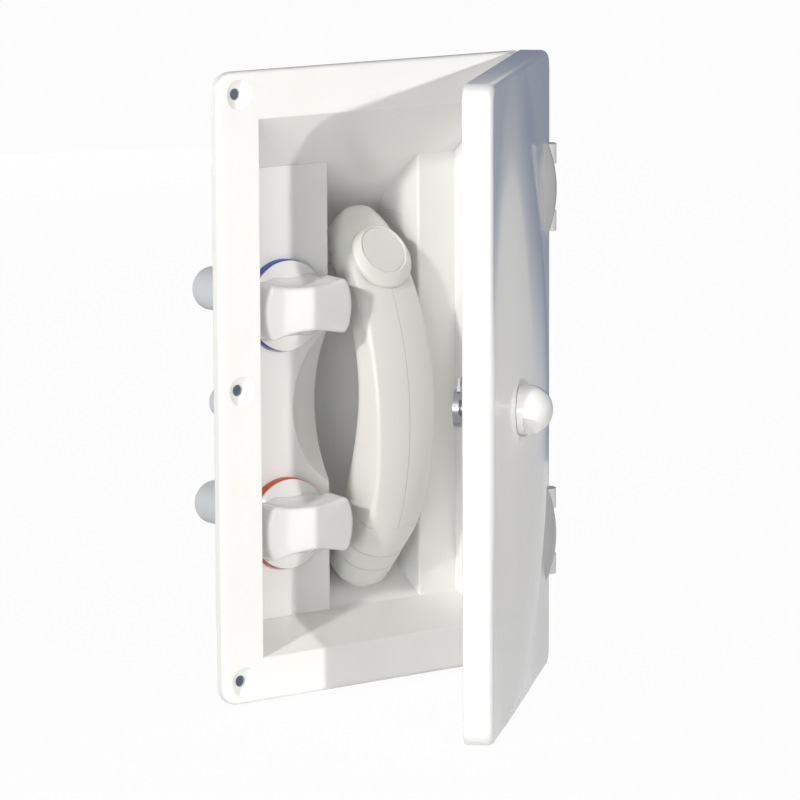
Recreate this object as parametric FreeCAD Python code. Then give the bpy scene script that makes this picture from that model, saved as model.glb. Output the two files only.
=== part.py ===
import FreeCAD, Part
import math
import os

V = FreeCAD.Vector
os.makedirs("parts", exist_ok=True)

# A recessed shower for a garden wall: a box with a door on its right side, a cold and a hot tap on
# a panel at the left, and a curved hand shower stowed in a deep bay at the right.
# X runs to the right, Y into the wall and Z up. The origin is the middle of the six screw holes,
# on the back face of the faceplate, which is the face that lies on the wall.

# Faceplate
plate_width = 212.0
plate_height = 340.0
plate_thickness = 5.5
plate_corner = 10.5
plate_edge_round = 2.2

# Opening in the faceplate, and the sloping box behind it
opening_side_margin = 27.0
opening_top = 144.5
opening_bottom = 146.5
opening_edge_round = 1.2
recess_depth = 30.0
recess_top = 113.5
recess_bottom = 134.5
wall = 2.5

# Bay for the hand shower
bay_left = -8.5
bay_right = 53.5
bay_ceiling_knee_depth = 60.0
bay_ceiling_knee_height = 90.0
bay_depth = 80.0
bay_back_top = 60.0
bay_back_bottom = 98.0
bay_floor_lip_depth = 36.0
bay_floor_lip_drop = 130.0
bay_mouth_round = 1.4
bay_rib_height = 80.0
bay_rib_thickness = 1.2
bay_rib_reach = 1.0
bay_rib_length = 16.0

# Screw holes of the faceplate
screw_from_side = 14.0
screw_from_end = 12.0
screw_hole_radius = 3.1
screw_dish_radius = 8.1
screw_step_depth = 0.8
screw_land = 1.3

# Gasket in the back of the faceplate
gasket_inset = 3.0
gasket_width = 4.0
gasket_groove_depth = 1.8
gasket_slack = 0.1

# Panel of the taps
panel_thickness = 3.0
panel_gap = 0.1
panel_edge_round = 0.7
tap_from_side = 39.0
cold_z = 38.0
hot_z = -82.0

# Finger scoop between the taps and the bay: a part of a large ball
scoop_radius = 79.0
scoop_x = 17.0
scoop_y = -31.2
scoop_z = -20.0
scoop_reach = 52.0

# Valves
barrel_radius = 10.0
barrel_gap = 0.2
barrel_proud = 3.0
barrel_flange_radius = 11.5
nut_radius = 15.0
nut_height = 2.8
ring_radius = 25.0
ring_inner_radius = 16.5
ring_height = 4.5
ring_round = 0.8
spindle_radius = 4.0
spindle_fit = 0.05
spindle_depth = 46.0
spindle_disc_gap = 0.3

# Mixer body behind the panel
mixer_front = 38.0
mixer_back = 62.0
mixer_half_width = 12.0
mixer_end = 13.0
mixer_passage_radius = 6.0
mixer_round = 4.0
inlet_radius = 12.0
cold_inlet_z = 40.0
hot_inlet_z = -80.0
inlet_back = 100.5
inlet_round = 5.0
inlet_bore_radius = 6.1
inlet_bore_depth = 20.0
inlet_throat_radius = 4.5
outlet_radius = 9.3
outlet_back = 88.0
outlet_bore_radius = 5.1
outlet_bore_depth = 14.0
outlet_throat_radius = 3.9
outlet_round = 3.0

# Tap knobs
knob_gap = 0.3
knob_skirt_radius = 24.6
knob_skirt_height = 1.2
knob_dome_height = 6.0
knob_front = 3.2
knob_floor = 2.4
grip_half_length = 29.4
grip_corner_x = 25.4
grip_end_half_height = 15.0
grip_waist_half_height = 12.5
grip_round = 2.6
grip_corner_round = 4.5
grip_spindle_cover = 8.0

# Door
door_gap = 0.6
door_thickness = 15.8
door_overhang = 1.9
door_wall = 3.0
door_edge_round = 4.0
door_back_round = 1.0
door_open_angle = 43.0
bulge_height = 14.0
bulge_from_free_edge = 90.0
bulge_z = -10.0
bulge_small_radius = 252.0
bulge_large_radius = 988.0
bulge_edge = 8.0
bulge_side_angle = 30.0
bulge_end_angle = 13.0
liner_thickness = 3.0
liner_gap = 0.1
liner_overlap = 1.0
seal_from_opening = 1.2
seal_width = 2.4
seal_depth = 1.8
seal_proud = 0.3

# Hinges
pin_from_hinge_edge = 2.5
pin_y = -19.5
pin_radius = 2.0
pin_fit = 0.05
hinge_from_plate_end = 74.0
knuckle_radius = 4.2
knuckle_half_length = 12.7
lug_radius = 6.2
lug_height = 11.0
lug_gap = 0.3
lug_arm_left_reach = 5.4
lug_arm_right_reach = 0.3
cover_from_hinge_edge = 13.5
cover_half_length = 26.5
cover_half_width = 11.5
cover_rise = 5.4
hinge_block_width = 15.0

# Latch
latch_from_free_edge = 40.0
latch_seat_rise = 8.0
latch_seat_radius = 14.0
latch_pocket_radius = 16.5
latch_knob_radius = 13.0
latch_knob_length = 17.3
latch_gap = 0.3
latch_shaft_radius = 4.0
latch_bush_wall = 2.0
latch_bush_flange = 1.6
latch_bush_flange_radius = 9.0
latch_boss_radius = 10.0
latch_flat_distance = 10.4
latch_flat_angle = 42.0
latch_flat_start = 3.3
cam_reach = 16.0
cam_width = 8.0
cam_hub_radius = 10.0
cam_thickness = 3.2
cam_tip_thickness = 1.0
cam_plate_gap = 0.5
cam_slot_gap = 1.0
cam_screw_radius = 2.0
cam_screw_head_radius = 4.6
cam_screw_head_height = 1.8
cam_screw_length = 12.0
cam_screw_head_gap = 0.2
cam_screw_slot_half_width = 0.5

# Hand shower: two arcs, seen from the side, then a straight tail that stands square to the floor
handset_x = 23.0
handset_front_y = -1.9
handset_upper_radius = 170.0
handset_lower_radius = 90.0
handset_join_angle = -18.0
handset_shell = 2.2
head_angle = 32.4
head_half_width = 20.3
head_thickness = 22.5
nose_length = 33.8
nose_fullness = 2.5
nose_edge_round = 6.0
nose_slope = 10.0
nose_corner_share = 0.7
least_corner = 1.0
nose_steps = [0.25, 0.5, 0.7, 0.84, 0.93, 0.98]
shell_end_angle = -23.5
# From the head to the tail: angle, half width, thickness, then slope and radius of the front and
# back corners
handset_sections = [
    (head_angle, head_half_width, head_thickness, 10.0, 3.0, 10.0, 6.0),
    (26.0, 20.4, 22.2, 13.0, 2.8, 12.0, 6.0),
    (17.0, 20.2, 22.6, 15.0, 2.5, 12.0, 6.0),
    (6.0, 19.8, 25.0, 15.5, 2.5, 12.0, 6.0),
    (-4.0, 19.2, 30.0, 15.5, 2.5, 14.0, 6.5),
    (-12.0, 18.2, 35.0, 17.0, 3.0, 20.0, 8.0),
    (-18.0, 17.7, 37.0, 20.0, 4.0, 26.0, 9.0),
    (shell_end_angle, 17.6, 36.8, 24.0, 5.0, 32.0, 9.0),
]
bezel_radius = 18.4
bezel_inner_radius = 13.8
bezel_wall_height = 1.4
bezel_height = 4.0
bezel_seat = 1.2
bezel_offset = 2.6
bezel_rim = 0.8
button_radius = 13.5
button_thickness = 2.2
button_sink = 0.4
button_travel = 2.5
button_round = 0.5
button_stem_radius = 3.0
button_stem_fit = 0.05
button_stem_gap = 0.5
button_well_depth = 6.0
valve_radius = 12.5
valve_length = 10.5
spring_radius = 6.0
spring_wall = 1.4
spray_radius = 16.5
spray_thickness = 3.0
spray_gap = 0.15
nozzle_radius = 0.7
nozzle_rings = 3
nozzle_ring_step = 4.2
tube_radius = 5.0
tube_bore_radius = 3.4
tube_front_gap = 3.6
tube_top_angle = 31.0
collar_proud = 0.35
collar_section = (17.2, 32.0, 38.0, 9.0, 38.0, 9.0)
end_mid_section = (17.2, 31.0, 40.0, 9.0, 40.0, 9.0)
end_section = (16.6, 28.8, 42.0, 9.0, 42.0, 9.0)
end_mid_length = 11.0
end_length = 23.5
end_round_length = 1.8
end_round_shrink = 1.6
ring_groove_depth = 0.5
ring_groove_width = 0.9

# Gland of the hose in the floor of the bay, with a collar that the tail stands on
gland_bore_radius = 6.6
gland_collar_radius = 11.0
gland_collar_height = 2.8
gland_neck_radius = 9.0
gland_lip_radius = 12.0
gland_lip = 2.0
gland_seat_gap = 0.3

# Rest behind the head, with a rubber pad
rest_half_width = 9.0
rest_half_height = 7.0
rest_drop = 6.0
pad_radius = 8.0
pad_thickness = 1.6
pad_gap = 0.3

# How far a cutting tool reaches past a face, and how near to a plane an edge counts as on it
over = 1.0
near = 0.01

# Places worked out from the sizes above
plate_front = -plate_thickness
panel_front = recess_depth
tray_front = recess_depth + panel_thickness
tray_back = tray_front + wall
door_inner = plate_front - door_gap
door_outer = door_inner - door_thickness
free_edge_x = -plate_width / 2
hinge_edge_x = plate_width / 2
opening_half_width = plate_width / 2 - opening_side_margin
screw_x = plate_width / 2 - screw_from_side
screw_z = plate_height / 2 - screw_from_end
tap_x = tap_from_side - opening_half_width
pin_x = hinge_edge_x - pin_from_hinge_edge
hinge_z = plate_height / 2 - hinge_from_plate_end
door_height = plate_height + 2 * door_overhang
outlet_z = (cold_z + hot_z) / 2


def box(x0, x1, y0, y1, z0, z1):
    return Part.makeBox(x1 - x0, y1 - y0, z1 - z0, V(x0, y0, z0))


def rod(radius, start, direction, length):
    return Part.makeCylinder(radius, length, start, direction)


def along_y(radius, x, z, y0, y1):
    return rod(radius, V(x, y0, z), V(0, 1, 0), y1 - y0)


def along_z(radius, x, y, z0, z1):
    return rod(radius, V(x, y, z0), V(0, 0, 1), z1 - z0)


def cut(shape, *tools):
    for tool in tools:
        shape = shape.cut(tool)
    return shape


def fuse(shape, *others):
    for other in others:
        shape = shape.fuse(other)
    return shape.removeSplitter()


def side_face(points):
    """Closed outline in the plane across X, from (depth, height) points."""
    corners = [V(0, y, z) for y, z in points]
    return Part.Face(Part.makePolygon(corners + corners[:1]))


def side_prism(points, x0, x1):
    face = side_face(points)
    face.translate(V(x0, 0, 0))
    return face.extrude(V(x1 - x0, 0, 0))


def frame_wire(left, right, bottom, top, corner, y):
    """Rounded rectangle that faces along Y."""
    k = corner * (1 - math.sqrt(0.5))
    r = corner
    ends = [
        (V(left + r, y, bottom), V(right - r, y, bottom), V(right - k, y, bottom + k)),
        (V(right, y, bottom + r), V(right, y, top - r), V(right - k, y, top - k)),
        (V(right - r, y, top), V(left + r, y, top), V(left + k, y, top - k)),
        (V(left, y, top - r), V(left, y, bottom + r), V(left + k, y, bottom + k)),
    ]
    edges = []
    for i, (a, b, mid) in enumerate(ends):
        edges.append(Part.LineSegment(a, b).toShape())
        edges.append(Part.Arc(b, mid, ends[(i + 1) % 4][0]).toShape())
    return Part.Wire(edges)


def frame_block(left, right, bottom, top, corner, y0, y1):
    face = Part.Face(frame_wire(left, right, bottom, top, corner, y0))
    return face.extrude(V(0, y1 - y0, 0))


def round_edges(shape, radius, wanted):
    """Fillets the edges that the test picks, by the box round each edge."""
    edges = [edge for edge in shape.Edges if wanted(edge.BoundBox)]
    return shape.makeFillet(radius, edges)


def save(node, shape):
    shape.exportStep("parts/" + node + ".step")
    sound = shape.isValid()
    print(f"{node:20s} solids {len(shape.Solids):2d} volume {shape.Volume / 1000:9.3f} cm3 {sound}")


# Sloping box behind the opening
top_slope = (opening_top - recess_top) / (recess_depth + plate_thickness)
bottom_slope = (opening_bottom - recess_bottom) / (recess_depth + plate_thickness)


def slope_top(y):
    return recess_top + top_slope * (recess_depth - y)


def slope_bottom(y):
    return -recess_bottom - bottom_slope * (recess_depth - y)


def recess_inside(x0, x1, back):
    mouth = plate_front - 2 * over
    return side_prism([(mouth, slope_top(mouth)), (recess_depth, recess_top), (back, recess_top),
                       (back, -recess_bottom), (recess_depth, -recess_bottom),
                       (mouth, slope_bottom(mouth))], x0, x1)


def recess_outside(x0, x1, back):
    lift_top = wall * math.hypot(1, top_slope)
    lift_bottom = wall * math.hypot(1, bottom_slope)
    start = plate_front / 2
    bend_top = recess_depth + (lift_top - wall) / top_slope
    bend_bottom = recess_depth + (lift_bottom - wall) / bottom_slope
    return side_prism([(start, slope_top(start) + lift_top), (bend_top, recess_top + wall),
                       (back, recess_top + wall), (back, -recess_bottom - wall),
                       (bend_bottom, -recess_bottom - wall),
                       (start, slope_bottom(start) - lift_bottom)], x0, x1)


# Side outline of the bay, from its mouth round the ceiling, the back and the floor
bay_outline = [
    (recess_depth, recess_top),
    (bay_ceiling_knee_depth, bay_ceiling_knee_height),
    (bay_depth, bay_back_top),
    (bay_depth, -bay_back_bottom),
    (bay_floor_lip_depth, -bay_floor_lip_drop),
    (recess_depth, -recess_bottom),
]
floor_run = bay_depth - bay_floor_lip_depth
floor_rise = bay_floor_lip_drop - bay_back_bottom


def scoop_ball(extra, right):
    ball = Part.makeSphere(scoop_radius + extra, V(scoop_x, scoop_y, scoop_z))
    room = box(bay_left - scoop_reach, right, panel_front, bay_depth,
               scoop_z - scoop_reach, scoop_z + scoop_reach)
    return ball.common(room)


bay_void = side_prism(bay_outline, bay_left, bay_right)
bay_skin_face = side_face(bay_outline).makeOffset2D(wall, 2)
bay_skin_face.translate(V(bay_left - wall, 0, 0))
bay_skin = bay_skin_face.extrude(V(bay_right - bay_left + 2 * wall, 0, 0))
bay_skin = bay_skin.common(box(bay_left - wall, bay_right + wall, recess_depth, bay_depth + wall,
                               -plate_height, plate_height))
scoop_void = scoop_ball(0, bay_left + wall)
scoop_skin = scoop_ball(wall, bay_left)


# Hand shower: places along its arcs, seen from the side
tail_angle = -math.degrees(math.atan2(floor_rise, floor_run))
join = math.radians(handset_join_angle)
arc_step = V(0, -math.cos(join), math.sin(join)) * (handset_upper_radius - handset_lower_radius)
floor_point = V(handset_x, bay_floor_lip_depth, -bay_floor_lip_drop)

# The arcs stand at the height at which the tail ends just above the gland's collar
tail = math.radians(tail_angle)
tail_way = V(0, -math.sin(tail), -math.cos(tail))
tail_in = V(0, math.cos(tail), -math.sin(tail))
tail_drop = end_length + end_round_length + gland_seat_gap + gland_collar_height
level_centre = V(0, handset_front_y + handset_upper_radius, 0)
level_axis = level_centre + arc_step - tail_in * (handset_lower_radius - collar_section[1] / 2)
level_drop = (floor_point - level_axis).dot(tail_way)
upper_centre = level_centre + V(0, 0, (level_drop - tail_drop) / tail_way.z)
lower_centre = upper_centre + arc_step


def arc_frame(angle):
    """Point on the front line at an angle, the way in from the front, and the way to the tail."""
    a = math.radians(angle)
    outward = V(0, -math.cos(a), math.sin(a))
    upper = angle >= handset_join_angle
    centre = upper_centre if upper else lower_centre
    radius = handset_upper_radius if upper else handset_lower_radius
    point = centre + outward * radius + V(handset_x, 0, 0)
    return point, outward * -1, V(0, -math.sin(a), -math.cos(a))


def oval_wire(point, inward, half_width, thickness, front_slope, front_corner, back_slope,
              back_corner):
    """Section of the hand shower: bowed front and back, four round corners and flat sides."""

    def side(depth_of, slope, corner):
        angle = math.radians(slope)
        edge_x = half_width - corner + corner * math.sin(angle)
        edge_depth = edge_x * math.tan(angle / 2)
        middle = math.radians((slope + 90) / 2)
        centre_depth = edge_depth + corner * math.cos(angle)
        mid_x = half_width - corner + corner * math.sin(middle)
        mid_depth = centre_depth - corner * math.cos(middle)
        return ((edge_x, depth_of(edge_depth)), (mid_x, depth_of(mid_depth)),
                (half_width, depth_of(centre_depth)))

    def at(x, depth):
        return point + V(x, 0, 0) + inward * depth

    front = side(lambda depth: depth, front_slope, front_corner)
    back = side(lambda depth: thickness - depth, back_slope, back_corner)
    f = [at(*place) for place in front]
    b = [at(*place) for place in back]
    fl = [at(-x, depth) for x, depth in front]
    bl = [at(-x, depth) for x, depth in back]
    edges = [Part.Arc(fl[0], at(0, 0), f[0]), Part.Arc(f[0], f[1], f[2]), Part.LineSegment(f[2], b[2]),
             Part.Arc(b[2], b[1], b[0]), Part.Arc(b[0], at(0, thickness), bl[0]),
             Part.Arc(bl[0], bl[1], bl[2]), Part.LineSegment(bl[2], fl[2]), Part.Arc(fl[2], fl[1], fl[0])]
    return Part.Wire([edge.toShape() for edge in edges])


def section_wire(section, shrink):
    angle, half_width, thickness, front_slope, front_corner, back_slope, back_corner = section
    point, inward, _ = arc_frame(angle)
    return oval_wire(point + inward * shrink, inward, half_width - shrink, thickness - 2 * shrink,
                     front_slope, max(front_corner - shrink, least_corner),
                     back_slope, max(back_corner - shrink, least_corner))


def nose_wire(share, shrink):
    """Section of the nose, whose outline is half of a full oval with a rounded edge."""
    length = nose_length - shrink
    width = head_half_width - shrink
    along = share * length
    rest = length - along
    room = min(rest, nose_edge_round)
    edge = nose_edge_round - math.sqrt(nose_edge_round ** 2 - (nose_edge_round - room) ** 2)
    half_width = width * (1 - share ** nose_fullness) ** (1 / nose_fullness)
    thickness = head_thickness - 2 * shrink - 2 * edge
    corner = min(nose_edge_round - shrink, half_width * nose_corner_share)
    angle = head_angle + math.degrees(along / handset_upper_radius)
    point, inward, _ = arc_frame(angle)
    return oval_wire(point + inward * (edge + shrink), inward, half_width, thickness,
                     nose_slope, corner, nose_slope, corner)


def handset_form(shrink):
    nose = [nose_wire(share, shrink) for share in reversed(nose_steps)]
    body = [section_wire(section, shrink) for section in handset_sections]
    return Part.makeLoft(nose + body, True, False)


head_point, head_in, head_down = arc_frame(head_angle)
head_out = head_in * -1


def at_head(depth):
    """Point on the head's axis, at a depth behind its front."""
    return head_point + head_in * depth


tail_front = arc_frame(tail_angle)[0]
tail_axis = tail_front + tail_in * (collar_section[1] / 2)
gland_place = tail_axis + tail_way * tail_drop


# Housing: faceplate, sloping box and tray in one moulding, and the bay behind it
outside = fuse(recess_outside(-opening_half_width - wall, opening_half_width + wall, recess_depth + wall),
               recess_outside(-opening_half_width - wall, bay_left, tray_back))
inside = fuse(recess_inside(-opening_half_width, bay_left, tray_front),
              recess_inside(bay_left, opening_half_width, recess_depth), bay_void, scoop_void)
plate = frame_block(-plate_width / 2, plate_width / 2, -plate_height / 2, plate_height / 2,
                    plate_corner, plate_front, 0)
plate = round_edges(plate, plate_edge_round, lambda b: b.YMax < plate_front + near)
body = cut(fuse(plate, outside, bay_skin, scoop_skin), inside)
split = tray_back
front_half = box(-plate_width, plate_width, plate_front - over, split, -plate_height, plate_height)
back_half = box(-plate_width, plate_width, split, bay_depth + 2 * wall, -plate_height, plate_height)

housing = body.common(front_half)
housing = round_edges(housing, opening_edge_round,
                      lambda b: b.YMax < plate_front + near and abs(b.XMin) < opening_half_width + near
                      and abs(b.XMax) < opening_half_width + near
                      and b.ZMax < opening_top + near and b.ZMin > -opening_bottom - near)
housing = round_edges(housing, bay_mouth_round,
                      lambda b: abs(b.XMin - bay_right) < near and abs(b.XMax - bay_right) < near
                      and abs(b.YMax - recess_depth) < near and b.ZLength > recess_top)


def screw_hole(x, z):
    dish_end = -screw_land
    dish_start = plate_front + screw_step_depth
    hole = along_y(screw_hole_radius, x, z, plate_front - over, over)
    step = along_y(screw_dish_radius, x, z, plate_front - over, dish_start)
    dish = Part.makeCone(screw_dish_radius, screw_hole_radius, dish_end - dish_start,
                         V(x, dish_start, z), V(0, 1, 0))
    return fuse(hole, step, dish)


for x in (-screw_x, screw_x):
    for z in (-screw_z, 0, screw_z):
        housing = housing.cut(screw_hole(x, z))


def edge_ring(inset, width, y0, y1):
    outer = frame_block(-plate_width / 2 + inset, plate_width / 2 - inset, -plate_height / 2 + inset,
                        plate_height / 2 - inset, plate_corner - inset, y0, y1)
    far = inset + width
    inner = frame_block(-plate_width / 2 + far, plate_width / 2 - far, -plate_height / 2 + far,
                        plate_height / 2 - far, plate_corner - far, y0, y1)
    return outer.cut(inner)


housing = housing.cut(edge_ring(gasket_inset, gasket_width, -gasket_groove_depth, 0))
gasket = edge_ring(gasket_inset, gasket_width, -gasket_groove_depth, -gasket_slack)

# Slot that the latch cam turns into, behind the left side of the faceplate
latch_x = free_edge_x + latch_from_free_edge
cam_front = cam_plate_gap
cam_back = cam_front + cam_thickness
cam_corner = math.hypot(cam_reach, cam_width / 2)
slot_top = math.sqrt(cam_corner ** 2 - (latch_x + opening_half_width) ** 2) + cam_slot_gap
slot = box(-opening_half_width - 2 * wall, -opening_half_width + wall, 0, cam_back + cam_slot_gap,
           -cam_width / 2 - cam_slot_gap, slot_top)
housing = housing.cut(slot)

for z in (cold_z, hot_z):
    housing = housing.cut(along_y(barrel_radius + barrel_gap, tap_x, z, panel_front, tray_back + wall))

# Hinge lugs that stand on the faceplate
lug_low = knuckle_half_length + lug_gap


def lug_room(z, gap):
    """Space of one hinge lug: its eye and its arm, with a gap all round."""
    half = lug_height / 2 + gap
    eye = along_z(lug_radius + gap, pin_x, pin_y, z - half, z + half)
    arm = box(pin_x - lug_arm_left_reach - gap, pin_x + lug_arm_right_reach + gap, pin_y, plate_front,
              z - half, z + half)
    return fuse(eye, arm)


def lug_places():
    offset = lug_low + lug_height / 2
    return [(z, z + side * offset) for z in (-hinge_z, hinge_z) for side in (-1, 1)]


for _, z in lug_places():
    housing = fuse(housing, lug_room(z, 0))
    housing = housing.cut(along_z(pin_radius, pin_x, pin_y, z - lug_height, z + lug_height))
save("housing", housing)
save("faceplate_gasket", gasket)

# Bay moulding, with the rest behind the head and the hole of the gland
bay = body.common(back_half)
pad_front = head_thickness + spray_gap + pad_gap
rest_front = at_head(pad_front + pad_thickness)
rest = box(handset_x - rest_half_width, handset_x + rest_half_width, panel_front, bay_depth + wall / 2,
           rest_front.z - rest_half_height - rest_drop, rest_front.z + rest_half_height - rest_drop)
rest = rest.cut(rod(bay_depth, rest_front - head_in * bay_depth, head_in, bay_depth))
rib = box(bay_right - bay_rib_reach, bay_right + wall / 2, bay_ceiling_knee_depth - bay_rib_length,
          bay_ceiling_knee_depth, bay_rib_height - bay_rib_thickness, bay_rib_height)
bay = fuse(bay, rest, rib)
bay = bay.cut(rod(gland_neck_radius, gland_place - tail_way * wall, tail_way, 3 * wall))
save("handset_bay", bay)
save("rest_pad", rod(pad_radius, at_head(pad_front), head_in, pad_thickness))

# Gland: a rubber ring with a lip under the floor and a collar above it
gland = fuse(rod(gland_collar_radius, gland_place - tail_way * gland_collar_height, tail_way,
                 gland_collar_height),
             rod(gland_neck_radius, gland_place, tail_way, wall),
             rod(gland_lip_radius, gland_place + tail_way * wall, tail_way, gland_lip))
gland = gland.cut(rod(gland_bore_radius, gland_place - tail_way * bay_depth, tail_way, 2 * bay_depth))
save("hose_gland", gland)

# Panel of the taps
panel = box(-opening_half_width + panel_gap, bay_left, panel_front, tray_front,
            -recess_bottom + panel_gap, recess_top - panel_gap)
panel = round_edges(panel, panel_edge_round,
                    lambda b: b.YMax < panel_front + near and b.XMin > bay_left - near)
panel = panel.cut(scoop_void)
for z in (cold_z, hot_z):
    panel = panel.cut(along_y(barrel_radius + barrel_gap, tap_x, z, panel_front - over, tray_back))
save("tap_panel", panel)

# Mixer body, its inlets and its outlet
mixer = box(tap_x - mixer_half_width, tap_x + mixer_half_width, mixer_front, mixer_back,
            hot_z - mixer_end, cold_z + mixer_end)
mixer = round_edges(mixer, mixer_round, lambda b: b.YLength > mixer_back - mixer_front - near)
passage_y = (spindle_depth + mixer_back) / 2
mixer = mixer.cut(along_z(mixer_passage_radius, tap_x, passage_y, hot_z, cold_z))
for z in (cold_z, hot_z):
    mixer = mixer.cut(along_y(mixer_passage_radius, tap_x, z, mixer_front, mixer_back))
mixer = mixer.cut(along_y(outlet_bore_radius, tap_x, outlet_z, passage_y, mixer_back))
save("mixer_body", mixer)


def pipe_stub(radius, z, back, end_round, bore_radius, bore_depth, throat_radius):
    stub = along_y(radius, tap_x, z, mixer_back, back)
    stub = round_edges(stub, end_round, lambda b: b.YMin > back - near)
    bore = along_y(bore_radius, tap_x, z, back - bore_depth, back + over)
    throat = along_y(throat_radius, tap_x, z, mixer_back, back)
    return cut(stub, bore, throat)


for node, z in (("cold_inlet", cold_inlet_z), ("hot_inlet", hot_inlet_z)):
    save(node, pipe_stub(inlet_radius, z, inlet_back, inlet_round, inlet_bore_radius,
                         inlet_bore_depth, inlet_throat_radius))
save("mixed_outlet", pipe_stub(outlet_radius, outlet_z, outlet_back, outlet_round, outlet_bore_radius,
                               outlet_bore_depth, outlet_throat_radius))

# Taps: valve barrel, nut, coloured ring, spindle and knob
barrel_front = panel_front - barrel_proud
ring_front = panel_front - ring_height
skirt_back = ring_front - knob_gap
skirt_front = skirt_back - knob_skirt_height
dome_front = skirt_front - knob_dome_height
dome_radius = (knob_skirt_radius ** 2 + knob_dome_height ** 2) / (2 * knob_dome_height)


def valve_barrel(z):
    barrel = fuse(along_y(barrel_radius, tap_x, z, barrel_front, mixer_front),
                  along_y(barrel_flange_radius, tap_x, z, tray_back, mixer_front))
    return barrel.cut(along_y(spindle_radius + spindle_fit, tap_x, z, barrel_front, mixer_front))


def valve_nut(z):
    corners = [V(tap_x + nut_radius * math.cos(math.radians(60 * i)), panel_front - nut_height,
                 z + nut_radius * math.sin(math.radians(60 * i))) for i in range(6)]
    nut = Part.Face(Part.makePolygon(corners + corners[:1])).extrude(V(0, nut_height, 0))
    return nut.cut(along_y(barrel_radius, tap_x, z, barrel_front - over, tray_front))


def tap_ring(z):
    ring = along_y(ring_radius, tap_x, z, ring_front, panel_front)
    ring = round_edges(ring, ring_round, lambda b: b.YMax < ring_front + near)
    return ring.cut(along_y(ring_inner_radius, tap_x, z, ring_front - over, panel_front))


def tap_spindle(z):
    stem = along_y(spindle_radius, tap_x, z, knob_front + grip_spindle_cover, spindle_depth)
    return fuse(stem, along_y(mixer_passage_radius - spindle_disc_gap, tap_x, z,
                              mixer_front + spindle_disc_gap, spindle_depth))


def grip_block(z):
    """Bar with drawn-in sides and bowed ends."""
    cx, h, w, e = grip_corner_x, grip_end_half_height, grip_waist_half_height, grip_half_length
    corners = [V(tap_x - cx, knob_front, z + h), V(tap_x + cx, knob_front, z + h),
               V(tap_x + cx, knob_front, z - h), V(tap_x - cx, knob_front, z - h)]
    mids = [V(tap_x, knob_front, z + w), V(tap_x + e, knob_front, z),
            V(tap_x, knob_front, z - w), V(tap_x - e, knob_front, z)]
    edges = [Part.Arc(corners[i], mids[i], corners[(i + 1) % 4]).toShape() for i in range(4)]
    depth = skirt_front - knob_front
    block = Part.Face(Part.Wire(edges)).extrude(V(0, depth, 0))
    block = round_edges(block, grip_corner_round, lambda b: b.YLength > depth - near and b.XLength < near)
    return round_edges(block, grip_round, lambda b: b.YMax < knob_front + near)


def tap_knob(z):
    dome = Part.makeSphere(dome_radius, V(tap_x, dome_front + dome_radius, z))
    dome = dome.common(along_y(knob_skirt_radius, tap_x, z, dome_front - over, skirt_front))
    skirt = along_y(knob_skirt_radius, tap_x, z, skirt_front, skirt_back)
    grip = grip_block(z).common(fuse(along_y(knob_skirt_radius, tap_x, z, knob_front, skirt_front),
                                     box(tap_x - 2 * grip_half_length, tap_x + 2 * grip_half_length,
                                         knob_front, dome_front + knob_dome_height / 2,
                                         z - grip_half_length, z + grip_half_length)))
    knob = fuse(dome, skirt, grip)
    hollow = along_y(ring_inner_radius, tap_x, z, skirt_front - knob_floor / 2, skirt_back + over)
    stem = along_y(spindle_radius, tap_x, z, knob_front + grip_spindle_cover, skirt_back + over)
    return cut(knob, hollow, stem)


for name, z in (("cold", cold_z), ("hot", hot_z)):
    save(name + "_valve", valve_barrel(z))
    save(name + "_valve_nut", valve_nut(z))
    save(name + "_ring", tap_ring(z))
    save(name + "_spindle", tap_spindle(z))
    save(name + "_knob", tap_knob(z))

# Door, drawn shut and then turned open about its pins
pin_line = V(pin_x, pin_y, 0)


def opened(shape):
    shape = shape.copy()
    shape.rotate(pin_line, V(0, 0, 1), door_open_angle)
    return shape


bulge_x = free_edge_x + bulge_from_free_edge


def bulge(inset, back):
    """The part of a large ring that stands out of the door; inset thins it from inside."""
    apex = door_outer - bulge_height
    radius = bulge_small_radius - inset
    side = radius * math.sin(math.radians(bulge_side_angle))
    rise = radius * math.cos(math.radians(bulge_side_angle))
    middle = apex + bulge_small_radius
    low, high = V(bulge_x - side, middle - rise, bulge_z), V(bulge_x + side, middle - rise, bulge_z)
    edges = [Part.Arc(low, V(bulge_x, middle - radius, bulge_z), high).toShape(),
             Part.LineSegment(high, low).toShape()]
    face = Part.Face(Part.Wire(edges))
    axis = V(bulge_x, apex + bulge_large_radius, bulge_z)
    face.rotate(axis, V(1, 0, 0), -bulge_end_angle)
    ring = face.revolve(axis, V(1, 0, 0), 2 * bulge_end_angle)
    edge = bulge_edge + inset
    return ring.common(frame_block(-plate_width / 2 + edge, plate_width / 2 - edge, -door_height / 2 + edge,
                                   door_height / 2 - edge, plate_corner, apex - over, back))


def door_frame(inset, y0, y1):
    return frame_block(-plate_width / 2 + inset, plate_width / 2 - inset, -door_height / 2 + inset,
                       door_height / 2 - inset, plate_corner - inset, y0, y1)


door = door_frame(0, door_outer, door_inner)
door = round_edges(door, door_edge_round, lambda b: b.YMax < door_outer + near)
door = round_edges(door, door_back_round, lambda b: b.YMin > door_inner - near)
door = fuse(door, bulge(0, door_outer + door_wall / 2))
latch_seat = door_outer - latch_seat_rise
door = fuse(door, along_y(latch_seat_radius, latch_x, 0, latch_seat, door_outer + door_wall))
door = door.cut(along_y(latch_pocket_radius, latch_x, 0, door_outer - 2 * bulge_height, latch_seat))
door = cut(door, door_frame(door_wall, door_outer + door_wall, door_inner + over),
           bulge(door_wall, door_outer + 2 * door_wall))

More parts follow.
